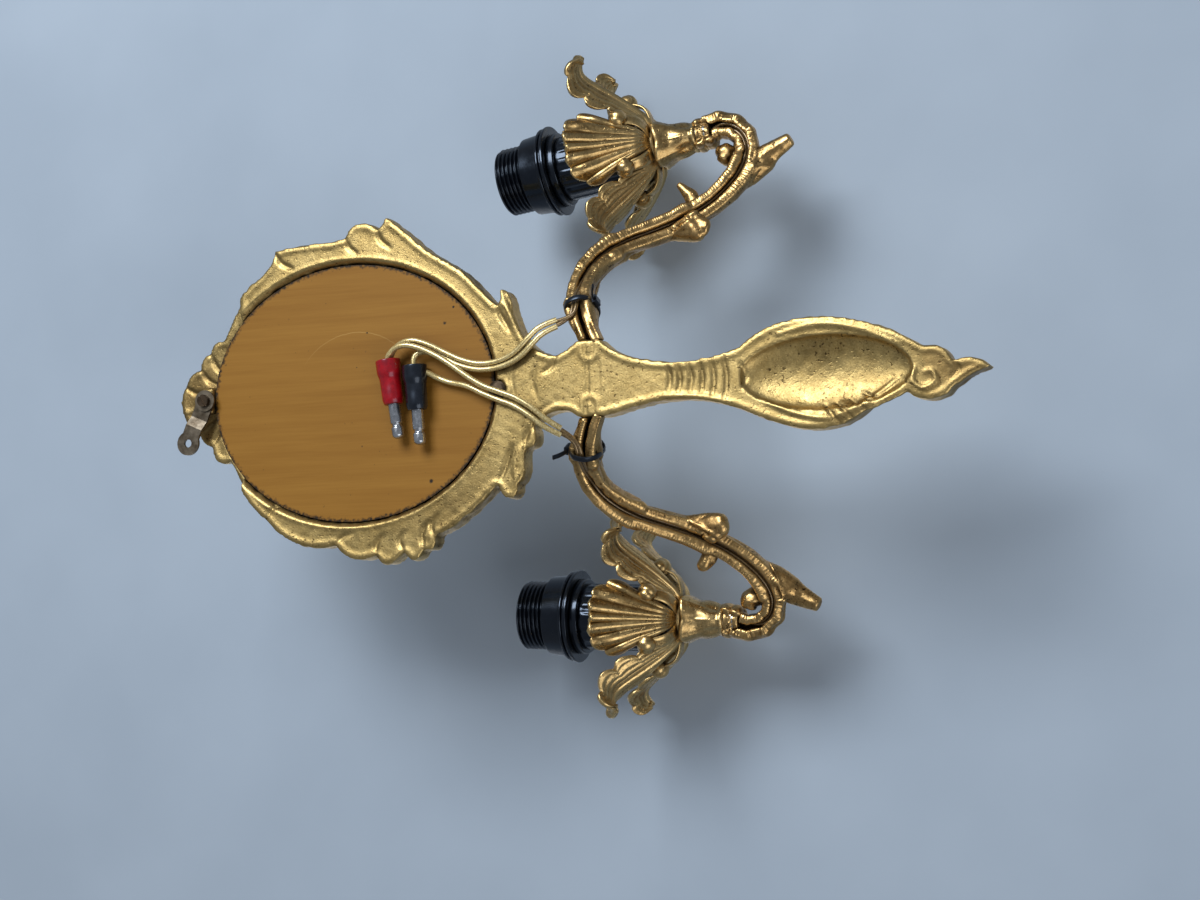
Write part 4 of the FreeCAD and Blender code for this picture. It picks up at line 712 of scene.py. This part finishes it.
for side in SIDES:
    bell = [(5.05, 0.0), (5.4, -0.02), (6.3, 0.1), (6.7, 0.8), (6.4, 1.5), (5.9, 2.1)]
    bell += [(5.9 + 3.9 * t ** 1.5, 2.1 + 13.4 * t) for t in np.linspace(0.06, 1, 20)]
    bell += [(9.9, 16.1), (9.6, 16.7), (9.0, 16.95), (5.05, 16.95)]
    verts, faces = lathe(bell, candle_place(side), 120, petal)
    stand_in("calyx_" + side, verts, faces, leaf_brass, ["cup_" + side])
print("cups made")

# %% [markdown]
# ## The castings
# The frame and the arms keep the outline of the CAD model. Their mesh is remade with even,
# small faces, softened a little, and then carved: every point moves along its normal by a
# height that a table of strokes gives, as a chaser would cut it. The back is nearly flat. It
# has a slight roll along every edge, notches where one leaf meets the next, ribs across the
# stem and gentle waves from the mould. The front isn't seen in the photograph. It has the
# ornament that such frames carry: veined leaves round the oval, husks down the stem and a
# fan on the drop.

# %% Remake and carve
def recast(node, finish, voxel, rounds):
    """An even, dense copy of a CAD casting; returns it with its points and normals in mm."""
    source = frame["nodes"][node]
    mesh = source.data.copy()
    mesh.transform(source.matrix_world)
    made = bpy.data.objects.new(node + "_carved", mesh)
    bpy.context.scene.collection.objects.link(made)
    even = made.modifiers.new("even", "REMESH")
    even.mode, even.voxel_size, even.use_smooth_shade = "VOXEL", voxel / 1000.0, True
    soft = made.modifiers.new("soft", "SMOOTH")
    soft.iterations, soft.factor = rounds, 0.5
    shaped = made.evaluated_get(bpy.context.evaluated_depsgraph_get())
    fine = bpy.data.meshes.new_from_object(shaped)
    made.modifiers.clear()
    made.data = fine
    fine.materials.clear()
    fine.materials.append(finish)
    take_place(made, [node])
    count = len(fine.vertices)
    points, normals = np.empty(count * 3), np.empty(count * 3)
    fine.vertices.foreach_get("co", points)
    fine.vertex_normals.foreach_get("vector", normals)
    print(node, "has", count, "points")
    return made, points.reshape(-1, 3) * 1000.0, normals.reshape(-1, 3)


def carve(made, points, normals, height):
    moved = (points + normals * height[:, None]) / 1000.0
    made.data.vertices.foreach_set("co", moved.ravel())
    made.data.update()
    made.data.polygons.foreach_set("use_smooth", [True] * len(made.data.polygons))


def strokes(flat, table):
    """Height of a set of strokes at each (x, z): a stroke is its points, width and height."""
    total = np.zeros(len(flat))
    for points, width, height in table:
        line, _ = smooth_line(points, 5 * len(points))
        low, high = line.min(0) - 3 * width, line.max(0) + 3 * width
        near = np.all((flat > low) & (flat < high), axis=1)
        p = flat[near]
        best, share = np.full(len(p), 99.0), np.zeros(len(p))
        for k, (a, b) in enumerate(zip(line, line[1:])):
            t = np.clip((p - a) @ (b - a) / ((b - a) @ (b - a)), 0, 1)
            away = np.linalg.norm(p - a - t[:, None] * (b - a), axis=1)
            closer = away < best
            best[closer] = away[closer]
            share[closer] = (k + t[closer]) / (len(line) - 1)
        thin = 0.35 + 0.65 * np.sin(np.pi * np.clip(share, 0.0, 1.0)) ** 0.7
        total[near] += height * thin * np.exp(-(best / (width * thin)) ** 2)
    return total


def waves(points, size, seed):
    """Soft random waves, between -1 and 1, that repeat about every size mm."""
    dice = np.random.default_rng(seed)
    total = np.zeros(len(points))
    for _ in range(10):
        direction = dice.normal(size=3)
        direction /= np.linalg.norm(direction)
        total += np.sin(points @ direction * 2 * np.pi / (size * dice.uniform(0.6, 1.6))
                        + dice.uniform(0, 6.28))
    return total / 4.0


def ramp_up(value, low, high):
    """0 below low, 1 above high, and a smooth rise between them."""
    t = np.clip((value - low) / (high - low), 0, 1)
    return t * t * (3 - 2 * t)


print("carving helpers ready")

# %% [markdown]
# ## The back of the frame
# The back was left as it came from the mould, apart from a few tooled lines. They could be
# modelled one by one, but a table of strokes is shorter and keeps them in one place. A soft
# roll follows every edge, so each point first finds how far it is from a side wall.

# %% The frame's back: notches, ribs and the roll along its edges
BACK = [  # width, height and the strokes that share them, in mm
    # where one leaf of the outline meets the next
    (0.8, -0.9, [[(-9.5, 14), (-5.5, 16), (-3, 20)], [(-30.5, 38.5), (-26, 36.5), (-20, 33)],
        [(-65.5, 90.5), (-61, 89), (-57, 84)], [(-60, 137), (-55, 134), (-52, 128)],
        [(65.5, 92), (61, 92), (57, 88)], [(63.5, 71.5), (57, 72), (52, 68)]]),
    (0.8, -0.8, [[(-26.5, 31), (-21, 27), (-15, 19)], [(-63, 104.5), (-59, 103), (-56, 99)],
        [(61, 110), (58, 107), (56.5, 102)], [(64.5, 80), (60, 82), (56, 79)],
        [(26, 27.5), (21, 27), (15, 22)], [(50, 141.5), (46, 139), (43, 134)]]),
    (0.9, -1.0, [[(-37, 36), (-30, 32), (-22, 28)], [(38.5, 38.5), (33, 36), (24, 33)]]),
    (0.7, 0.5, [[(-33, 38), (-29, 34), (-20, 30)]]),
    (0.7, -0.7, [[(59, 66.5), (55, 68), (50, 65)]]),
    (0.8, 0.5, [[(40, 31.5), (33, 32), (25, 30)]]),
    (0.7, -0.6, [[(17.5, 24), (13, 22), (9, 16)]]),
    # ribs cut across the stem
    (0.8, -0.8, [[(-4.0, -31), (1.5, -32.5), (7.5, -31.5)],
        [(-4.2, -35), (1.8, -36.5), (8, -35.5)], [(-4.2, -39.5), (2, -41), (8.6, -40)],
        [(-4.5, -44), (2.2, -45.5), (9.4, -44.5)], [(-5.2, -48.6), (2.6, -50), (10.4, -49)],
        [(-6.2, -53.6), (3, -55), (11.4, -54)]]),
    (0.9, 0.5, [[(-4.6, -29), (-5.0, -44), (-7.0, -56)], [(8.5, -29), (9.5, -44), (12.6, -57)]]),
    # ridges round the dish, feather ribs on its rim, and the scroll above the tip
    (1.0, 0.8, [[(-12, -74), (-15, -90), (-12.5, -106), (-5.5, -122)],
        [(12, -68), (18, -82), (20, -95), (15, -108), (7, -120)]]),
    (0.7, -0.8, [[(14.5, -92), (18.5, -95), (22, -98)], [(14, -96), (17.5, -100), (20.5, -103)],
        [(12.6, -101), (15.5, -105), (17.6, -108.5)],
        [(10.6, -106), (12.8, -110), (13.6, -113)]]),
    (0.9, 0.9, [[(2.5, -127), (8, -126), (11, -130), (8.5, -134.5), (4.5, -133), (5.6, -130)]]),
    (0.8, -0.7, [[(1.5, -141), (4.5, -143), (8, -140)]]),
    (0.9, -0.6, [[(-3, -60), (2, -62), (8, -60.5)]]),
    # the waist: a joint line and file marks
    (0.5, -0.45, [[(-13, 2), (-6, 1.2), (2, 1.0), (9, 1.8), (14, 2)]]),
    (0.4, -0.25, [[(-12, -3), (-4, -3.6), (5, -3.4), (12, -3)]]),
    (0.9, -0.4, [[(-6, 22), (0, 24), (7, 22)]]),
    (0.9, -0.35, [[(-10, 30), (-2, 33), (8, 31)]]),
    # the crest's scallops
    (0.8, -0.9, [[(-20, 169), (-14, 166), (-9, 160)], [(-13.5, 173.5), (-9, 170), (-6, 164)],
        [(13.5, 174.5), (9, 170), (6, 164)], [(18.5, 168.5), (13, 165), (9, 160)]]),
    (0.8, -0.8, [[(-7, 181), (-4, 176), (-3, 168)]]),
    (0.7, 0.5, [[(4, 182), (3, 176), (2.6, 174)]]),
]
back_strokes = [(line, width, height) for width, height, lines in BACK for line in lines]
casting, points, normals = recast("frame_casting", cast_brass, 0.80, 2)
back, front = normals[:, 1] > 0.6, normals[:, 1] < -0.5
side_wall = np.abs(normals[:, 1]) < 0.45
tree = KDTree(int(side_wall.sum()))
for index, (x, y, z) in enumerate(points[side_wall]):
    tree.insert((x, 0.0, z), index)
tree.balance()
to_edge = np.array([tree.find((x, 0.0, z))[2] if flat_side else 99.0
                    for (x, y, z), flat_side in zip(points, back | front)])
flat = points[:, [0, 2]]
height = np.zeros(len(points))
roll = np.exp(-((to_edge - 1.6) / 1.0) ** 2)
height[back] += 0.30 * roll[back] + strokes(flat[back], back_strokes)
height[back] += 0.10 * waves(points[back], 22.0, 3) + 0.03 * waves(points[back], 4.0, 4)
height[side_wall] += 0.22 * waves(points[side_wall], 7.0, 5)
print("back carved with", len(back_strokes), "strokes; deepest",
      round(float(height.min()), 2), "mm")

# %% [markdown]
# ## The front of the frame
# The front isn't in the photograph, so its ornament is a guess. It repeats round the oval and
# along the stem, so waves of the angle or of the height draw it better than single strokes.

# %% The frame's front: leaves round the oval, husks on the stem, a fan on the drop
x, z = points[:, 0], points[:, 2]
around = np.arctan2(x / 52.0, (z - 103.2) / 62.4)
beyond = np.hypot(x / 48.4, (z - 103.2) / 58.8)
leafy = np.clip((beyond - 1.10) / 0.10, 0, 1)
vein = np.abs(np.sin(13 * np.abs(around) - 7.5 * (beyond - 1.0))) ** 0.7
fine_vein = np.cos(52 * np.abs(around) - 30 * (beyond - 1.0))
ornament = leafy * (1.9 * (vein - 0.45) + 0.22 * fine_vein)
beads = 0.5 + 0.5 * np.cos(around * 90)
ornament += 0.9 * (beads - 0.4) * np.exp(-((beyond - 1.05) / 0.035) ** 2)
stem = (z < 20) & (z > -60)
husk = np.abs(np.sin(np.pi * (z + 0.55 * np.abs(x - 2.5)) / 11.0)) ** 0.6
ornament[stem] = (1.5 * (husk - 0.4) - 0.9 * np.exp(-((x - 2.5) / 0.8) ** 2))[stem]
drop = z <= -60
angle = np.arctan2(x - 3.0, -(z + 54.0))
fan = np.abs(np.sin(11 * angle)) ** 0.7
ornament[drop] = (1.5 * (fan - 0.45) * np.clip((-z - 58) / 12, 0, 1))[drop]
crest = (z > 158) & (np.hypot(x, z - 150) > 12)
spread = np.abs(np.sin(8.5 * np.arctan2(x, z - 150.0))) ** 0.7
ornament[crest] = (1.7 * (spread - 0.45))[crest]
soft_edge = np.clip(to_edge / 2.0, 0, 1)
height[front] += (ornament * soft_edge)[front] + 0.10 * waves(points[front], 9.0, 6)
carve(casting, points, normals, height)
print("front carved; highest", round(float(height.max()), 2), "mm")

# %% [markdown]
# ## The arms
# An arm is a trough whose two lips lean over the flex. Its outside is a row of long husks,
# one growing out of the next, with folds that run along them. All of this follows the length
# of the arm, so each point of the mesh first finds its place on the centre line.

# %% Carve the arms
ARM_LINE = [(11.0, 3.4, -1.8), (15.0, 4.6, 0.4), (24.0, 8.0, 4.6), (34.0, 14.0, 7.2),
            (45.0, 22.0, 4.6), (53.5, 30.0, -4.5), (58.6, 37.0, -16.0), (63.6, 42.5, -28.0),
            (70.5, 47.0, -39.5), (80.0, 51.0, -49.0), (90.0, 54.5, -53.2), (99.0, 57.0, -50.0),
            (102.5, 58.0, -42.0), (100.5, 58.0, -34.5)]
REACH, LOW = {"left": 104.0, "right": 94.0}, {"left": 28.0, "right": 35.0}


def arm_point(side, out, forward, height):
    share = (out - 15.0) / 84.0
    return (SIGN[side] * (15.0 + (REACH[side] - 15.0) * share), -forward,
            height - (LOW[side] - 31.0) * share)


def axes_along(ahead):
    """For each direction of an arm: itself, the way out of the channel, and sideways."""
    ahead = ahead / np.linalg.norm(ahead, axis=1)[:, None]
    rise = np.array([0.0, 1.0, 0.0]) - ahead * ahead[:, 1:2]
    rise /= np.linalg.norm(rise, axis=1)[:, None]
    return ahead, rise, np.cross(ahead, rise)


for side in SIDES:
    arm, points, normals = recast("arm_" + side, arm_brass, 0.36, 6)
    line, length = smooth_line([arm_point(side, *p) for p in ARM_LINE], 400)
    tree = KDTree(len(line))
    for index, spot in enumerate(line):
        tree.insert(spot, index)
    tree.balance()
    nearest = [tree.find(p)[1] for p in points]
    run = np.array(nearest) * length / 399.0
    away = points - line[nearest]
    _, rise, aside = axes_along(np.gradient(line, axis=0)[nearest])
    up = np.einsum("ij,ij->i", away, rise)
    across = np.einsum("ij,ij->i", away, aside)
    facing = np.einsum("ij,ij->i", normals, rise)
    sideways = np.einsum("ij,ij->i", normals, aside) * np.sign(across)
    wide = np.abs(across)
    root = np.clip((run - 9) / 8, 0, 1)
    in_channel = ramp_up(up, -1.6, -1.0) * (1 - ramp_up(wide, 3.0, 3.7))
    wall = in_channel * ramp_up(-sideways, 0.2, 0.6) * ramp_up(up, 0.6, 3.2)
    outer = (1 - in_channel) * root
    # long husks, one growing out of the next, with folds that run along them
    round_it = np.arctan2(up, across)
    husk = ((run + 3.5 * np.abs(np.sin(1.5 * round_it)) + 6.0) / 33.0) % 1.0
    swell = 0.5 + 1.6 * husk ** 1.6 * (1 - ramp_up(husk, 0.90, 1.0))
    fold = np.abs(np.sin(2.5 * round_it + 0.9 * np.sin(2 * np.pi * run / 33.0))) ** 0.5
    lip = in_channel * ramp_up(-sideways, 0.2, 0.6) * ramp_up(up, 2.3, 3.3)
    height = 1.15 * wall + 1.15 * lip + outer * swell
    height += outer * (1 - ramp_up(facing, 0.5, 0.9)) * 0.9 * (fold - 0.6)
    height += outer * ramp_up(facing, 0.2, 0.8) * 0.55 * np.exp(-((wide - 3.9) / 1.0) ** 2)
    height += 0.10 * waves(points, 9.0, 11) + 0.03 * waves(points, 3.0, 12)
    carve(arm, points, normals, height)
    worn = arm.modifiers.new("worn", "SMOOTH")
    worn.iterations, worn.factor = 4, 0.5
print("arms carved")

# %% [markdown]
# ## Flex, leads and plugs
# A clear two-core flex lies in each arm. Behind the tie its cores part and cross the back of
# the waist as four free leads, which end in a red and a black bullet plug. A lead is a soft
# spline whose control points are the route of its CAD tube.

# %% The four leads and the flex in the arms
LEADS = {
    "lead_left_red": [
        (-23.6, -0.4, 13.5), (-21.6, 1.9, 19.6), (-16.6, 2.9, 24.6), (-11.2, 2.7, 30.2),
        (-8.4, 2.4, 37.2), (-7.8, 2.2, 45.2), (-9.8, 2.0, 53.0), (-13.4, 2.2, 60.2),
        (-17.2, 3.2, 67.2), (-19.4, 4.0, 74.4), (-17.2, 3.3, 81.0), (-11.6, 2.7, 84.4),
        (-5.5, 2.4, 83.6)],
    "lead_left_black": [
        (-21.0, -0.4, 13.5), (-18.9, 1.9, 18.4), (-14.2, 2.9, 22.9), (-8.9, 2.7, 28.6),
        (-6.0, 2.4, 36.6), (-5.4, 2.2, 45.2), (-7.4, 2.0, 53.2), (-10.8, 2.0, 60.0),
        (-13.2, 2.2, 64.8), (-14.6, 2.6, 69.4), (-12.9, 3.4, 73.2), (-7.6, 3.8, 73.0),
        (-3.1, 3.75, 72.45)],
    "lead_right_red": [
        (18.9, -0.4, 12.5), (15.6, 2.0, 17.6), (10.6, 3.2, 22.8), (6.2, 3.8, 29.6),
        (3.6, 4.2, 36.6), (1.0, 4.6, 43.4), (-3.4, 4.9, 50.2), (-8.2, 5.0, 56.6),
        (-12.4, 5.1, 63.2), (-15.8, 5.6, 70.2), (-17.2, 5.9, 76.6), (-15.4, 5.5, 82.0),
        (-10.6, 5.2, 84.6), (-5.5, 5.1, 83.6)],
    "lead_right_black": [
        (21.5, -0.4, 12.5), (18.4, 2.0, 18.6), (13.4, 2.9, 24.2), (9.0, 3.0, 31.0),
        (6.5, 3.0, 38.0), (3.4, 2.8, 44.8), (0.0, 1.8, 51.4), (-1.4, 0.8, 58.6),
        (-3.6, 1.0, 64.2), (-6.1, 2.4, 67.9), (-6.6, 3.2, 71.0)],
}


LEAD_RADIUS, CORE_RADIUS, CORE_SHIFT = 1.15, 0.85, 0.82


def wire(name, route, radius, finish, nodes):
    """A round wire along control points in mm, in place of its CAD tube."""
    curve = bpy.data.curves.new(name, "CURVE")
    curve.dimensions, curve.bevel_depth, curve.bevel_resolution = "3D", radius / 1000.0, 5
    curve.resolution_u, curve.use_fill_caps = 8, True
    line = curve.splines.new("NURBS")
    line.points.add(len(route) - 1)
    for point, spot in zip(line.points, route):
        point.co = (*mm(*spot), 1.0)
    line.order_u, line.use_endpoint_u = 3, True
    curve.materials.append(finish)
    made = bpy.data.objects.new(name, curve)
    bpy.context.scene.collection.objects.link(made)
    take_place(made, nodes)
    return made


leads = {name: wire(name.replace("lead", "core"), route, LEAD_RADIUS, flex, [name])
         for name, route in LEADS.items()}

for side in SIDES:
    stations, _ = smooth_line([arm_point(side, *p) for p in ARM_LINE], 24)
    _, rise, aside = axes_along(np.gradient(stations, axis=0))
    place = candle_place(side)
    foot = place @ Vector((0, 0, -3.0))
    start = {"left": (22.3, 13.5), "right": (20.2, 12.5)}[side]
    for number, shift in enumerate((-CORE_SHIFT, CORE_SHIFT)):
        route = [(SIGN[side] * (start[0] + shift), -0.4, start[1]),
                 np.array(arm_point(side, 23.6, 2.2, 7.6)) + aside[2] * shift]
        for i in range(3, 23):
            lift = {3: 6.1, 4: 3.9}.get(i, 1.45)
            here = stations[i] + rise[i] * lift + aside[i] * shift
            if (Vector(here) - foot).length > 8.0:
                route.append(here)
        route += [place @ Vector((shift, 0, h)) for h in (-3.0, 6.0, 14.0, 22.0)]
        # the cores in the arms get the darker copy of the flex finish: painted shade
        wire("flex_core_%s_%d" % (side, number), route, CORE_RADIUS, painted_shade_flex,
             ["flex_in_arm_" + side])
print("two cores in each arm")

# %% [markdown]
# ## Plugs
# A plug is a turned sleeve with a wide, slightly crimped mouth, and a nickel pin with a ring
# groove and a rounded end. Both are outlines turned about one axis, as a lathe makes them.

# %% The bullet plugs
PLUGS = {"red": ((-11.7, 3.9, 84.4), (6.4, 3.4, 82.0)),  # the mouth, and a point on the axis
         "black": ((-9.0, 3.9, 72.8), (11.4, 3.4, 71.6))}


def crimp(r, h, a):
    """Two crimps press the sleeve a little oval, and its mouth is not quite round."""
    press = 0.22 * math.exp(-((h - 10.5) / 2.2) ** 2)
    mouth = 0.16 * math.exp(-(h / 3.0) ** 2)
    return r - press * (0.5 + 0.5 * math.cos(2 * a)) + mouth * math.cos(3 * a + 0.6), h


for colour, finish in (("red", red_sleeve), ("black", black_sleeve)):
    mouth, tail = (mm(*p) * 1000.0 for p in PLUGS[colour])
    place = Matrix.Translation(mouth) @ (tail - mouth).to_track_quat("Z", "Y").to_matrix().to_4x4()
    sleeve = rounded([(3.1, 0.0), (5.0, 0.0), (4.9, 5.4), (4.3, 7.6), (4.25, 16.2), (3.7, 18.0),
                      (2.45, 18.0), (2.45, 6.1), (3.1, 5.4)], 0.55, 4)
    dense = []
    for (r0, h0), (r1, h1) in zip(sleeve, sleeve[1:] + sleeve[:1]):
        steps = max(1, int(abs(h1 - h0) / 0.7))
        dense += [(r0 + (r1 - r0) * k / steps, h0 + (h1 - h0) * k / steps) for k in range(steps)]
    verts, faces = lathe(dense, place, 72, crimp)
    stand_in("sleeve_" + colour, verts, faces, finish, ["plug_sleeve_" + colour], 60)
    pin = [(0.02, 6.3), (2.4, 6.3)] + rounded(
        [(2.4, 18.1), (2.4, 25.6), (1.85, 26.1), (1.85, 26.9), (2.4, 27.4), (2.4, 30.2)],
        0.3, 3, False) + [(2.4 * math.cos(t), 30.2 + 1.8 * math.sin(t))
                          for t in np.linspace(0.1, 1.56, 9)]
    verts, faces = lathe(pin, place, 64, closed=False)
    stand_in("pin_" + colour, verts, faces, nickel, ["plug_pin_" + colour], 40)
print("plugs made")

# %% [markdown]
# ## Free leads
# The four leads are loose. A smooth curve cuts the corners of its control points, so a lead
# is a little shorter than the line through them, and each length is printed. Two leads carry
# the plugs.

# %% The length of each free lead
CURVE_SHARE = 0.97
for name, route in LEADS.items():
    colour = name.rsplit("_", 1)[1]
    length = CURVE_SHARE * smooth_line(route, 200)[1]
    print(name, "is", round(length, 1), "mm long")

# %% [markdown]
# ## Ties
# A tie is one narrow nylon band, drawn tight round arm and flex. Its head is a small square
# box beside the arm, and the cut tail stands out of it.

# %% The cable ties
def swept(path, half_wide, half_thick, along, closed):
    """A flat band on a path: along is the direction of its width."""
    verts, count = [], len(path)
    for i, here in enumerate(path):
        before, after = path[i - 1 if closed or i else 0], path[(i + 1) % count if closed
                                                                 else min(i + 1, count - 1)]
        out = np.cross(along, np.array(after) - np.array(before))
        out /= np.linalg.norm(out)
        for w, t in ((-1, -0.55), (-1, 0.55), (-0.75, 1), (0.75, 1), (1, 0.55), (1, -0.55),
                     (0.75, -1), (-0.75, -1)):
            verts.append(np.array(here) + along * w * half_wide + out * t * half_thick)
    faces = grid_faces(count, 8, closed, True)
    if not closed:
        faces += [tuple(range(8)), tuple(range((count - 1) * 8, count * 8))]
    return verts, faces


for side in SIDES:
    here = np.array(arm_point(side, 27.4, 9.8, 5.8))
    chord = np.array(arm_point(side, 34, 14.0, 7.2)) - np.array(arm_point(side, 24, 8, 4.6))
    (ahead,), (rise,), (aside,) = axes_along(chord[None, :])
    corners = [(-3.4, -6.6), (0, -7.6), (3.4, -6.6), (5.9, -3.2), (6.2, 0.4), (5.6, 4.2),
               (3.1, 7.4), (0, 8.2), (-3.1, 7.4), (-5.6, 4.2), (-6.2, 0.4), (-5.9, -3.2)]
    loop, _ = smooth_line([here + aside * s + rise * r for s, r in corners + corners[:1]], 73)
    verts, faces = swept(list(loop[:-1]), 1.1, 0.42, ahead, True)
    top = here + aside * 6.9 + rise * 2.4
    for path, wide, thick in (
            ([top + rise * h for h in (-1.9, -1.6, 0.0, 1.6, 1.9)], 1.75, 1.25),
            ([top + rise * 1.5, top + rise * 4 + aside * 0.5, top + rise * 6.5 + aside * 1.6,
              top + rise * 8.6 + aside * 3.0], 0.95, 0.38)):
        add_mesh(verts, faces, *swept(path, wide, thick, ahead, False))
    stand_in("tie_" + side, verts, faces, black_tie, ["cable_tie_" + side], 50)
print("ties made")

# %% [markdown]
# ## Floor
# The sconce lies face down over plain paper, so the paper is a sheet in front of the mirror,
# which the photograph's camera sees behind the object. Seen from the paper's other side it
# lets the view through, so the front can be looked at as well.

# %% The paper
def paper_material():
    f = Finish("pale_paper", Roughness=0.9, Specular_IOR_Level=0.1)
    tone = f.ramp(f.noise(14.0, 3.0, 0.5), (0.3, srgb(154, 166, 180)), (0.7, srgb(160, 172, 186)))
    f.colour(tone)
    clear = f.node("ShaderNodeBsdfTransparent").outputs[0]
    pale = f.node("ShaderNodeEmission", Color=srgb(150, 164, 180), Strength=0.7).outputs[0]
    path = f.node("ShaderNodeLightPath").outputs
    behind = f.node("ShaderNodeNewGeometry").outputs["Backfacing"]
    seen = f.node("ShaderNodeMixShader", Fac=path["Is Glossy Ray"])
    f.feed(seen.inputs[1], f.shader.outputs[0])
    f.feed(seen.inputs[2], pale)
    gone = f.node("ShaderNodeMixShader", Fac=f.sum(behind, path["Is Shadow Ray"], "MAXIMUM"))
    f.feed(gone.inputs[1], seen.outputs[0])
    f.feed(gone.inputs[2], clear)
    f.feed(f.out.inputs["Surface"], gone.outputs[0])
    return f.material


def sheet_of_paper(y, half):
    shape = bmesh.new()
    corners = [shape.verts.new((x, y, z)) for x, z in
               ((-half, -half), (-half, half), (half, half), (half, -half))]
    shape.faces.new(corners)
    mesh = bpy.data.meshes.new("paper")
    shape.to_mesh(mesh)
    paper = bpy.data.objects.new("paper", mesh)
    mesh.materials.append(paper_material())
    bpy.context.scene.collection.objects.link(paper)
    print("paper faces", [round(c, 2) for c in mesh.polygons[0].normal])
    return paper


PAPER_GAP, PAPER_HALF = 0.012, 3.0
sheet_of_paper(cad_box[0].y - PAPER_GAP, PAPER_HALF)

# %% [markdown]
# ## Lamps
# A large lamp close by gives soft shadows; a small one gives hard ones. Brass needs pale
# things to reflect, so the world is pale too. The camera sees a plain backdrop in its place.

# %% Lamps and world
def panel(name, toward, distance, size, watts, tint=(1, 1, 1)):
    """A square soft lamp that looks at the middle of the object."""
    light = bpy.data.lights.new(name, "AREA")
    light.energy, light.size, light.color = watts, size, tint
    lamp = bpy.data.objects.new(name, light)
    middle = (cad_box[0] + cad_box[1]) / 2
    away = Vector(toward).normalized()
    lamp.location = middle + away * distance
    lamp.rotation_euler = (-away).to_track_quat("-Z", "Y").to_euler()
    bpy.context.scene.collection.objects.link(lamp)


panel("key", (-0.7, 1.0, 0.3), 1.2, 0.6, 15.0, (0.93, 0.97, 1.0))
panel("fill", (0.7, 0.9, -0.9), 1.4, 0.9, 5.5)
panel("front", (0.4, -1.0, 0.5), 1.3, 0.9, 12.0)
panel("front_low", (-0.7, -1.0, -0.4), 1.4, 0.9, 6.0)

world = bpy.data.worlds.new("world")
bpy.context.scene.world = world
world.use_nodes = True
nodes, links = world.node_tree.nodes, world.node_tree.links
sky = nodes["Background"]
sky.inputs["Color"].default_value = srgb(206, 212, 220)
sky.inputs["Strength"].default_value = 0.36
backdrop = nodes.new("ShaderNodeBackground")
backdrop.inputs["Color"].default_value = srgb(186, 193, 202)
backdrop.inputs["Strength"].default_value = 1.0
choose = nodes.new("ShaderNodeMixShader")
links.new(nodes.new("ShaderNodeLightPath").outputs["Is Camera Ray"], choose.inputs[0])
links.new(sky.outputs[0], choose.inputs[1])
links.new(backdrop.outputs[0], choose.inputs[2])
links.new(choose.outputs[0], nodes["World Output"].inputs["Surface"])
bpy.context.scene.view_settings.view_transform = "Standard"
print("four panels and a pale world")

# %% [markdown]
# ## Finishes on the CAD pieces
# Every piece whose CAD shape is right keeps it, and only its material slot is filled.

# %% Give each CAD piece its finish
FINISH = {
    "frame_casting": cast_brass, "mirror_glass": glass, "mirror_paint": paint,
    "mirror_stop_screw": screw_steel, "hanger_strap": strap_steel,
    "hanger_washer": strap_steel, "hanger_screw": screw_steel,
    "arm": arm_brass, "cup": arm_brass, "leaf_pan": leaf_brass, "nipple": plated_steel,
    "lock_nut": plated_steel, "holder_cap": black_moulding, "contact_carrier": black_moulding,
    "holder_sleeve": black_moulding, "lamp_shell": sheet_brass, "centre_contact": sheet_brass,
    "shade_ring": black_moulding, "flex_in_arm": flex, "cable_tie": black_tie,
    "plug_sleeve_red": red_sleeve, "plug_sleeve_black": black_sleeve, "plug_pin": nickel,
    "lead": flex,
}
EDGE_WIDTH, EDGE_ANGLE = 0.00015, 40.0  # metres, degrees
for name, node in frame["nodes"].items():
    keys = (name, name.rsplit("_", 1)[0], name.split("_")[0])
    finish = next(FINISH[key] for key in keys if key in FINISH)
    node.data.materials.clear()
    node.data.materials.append(finish)
    for face in node.data.polygons:
        face.material_index = 0
    if not node.hide_render and name not in ("mirror_paint", "mirror_glass"):
        eased = node.modifiers.new("eased edges", "BEVEL")
        eased.width, eased.segments, eased.limit_method = EDGE_WIDTH, 2, "ANGLE"
        eased.angle_limit, eased.harden_normals = math.radians(EDGE_ANGLE), False
print("finishes given to", len(frame["nodes"]), "pieces")

# %% [markdown]
# ## Sizes
# The box round the CAD model, taken before the finer meshes were made, is printed. The
# visual model may stand out past the CAD model a little, but not much.

# %% Print the box round the CAD model
print("cad box", [[round(v, 4) for v in c] for c in cad_box])
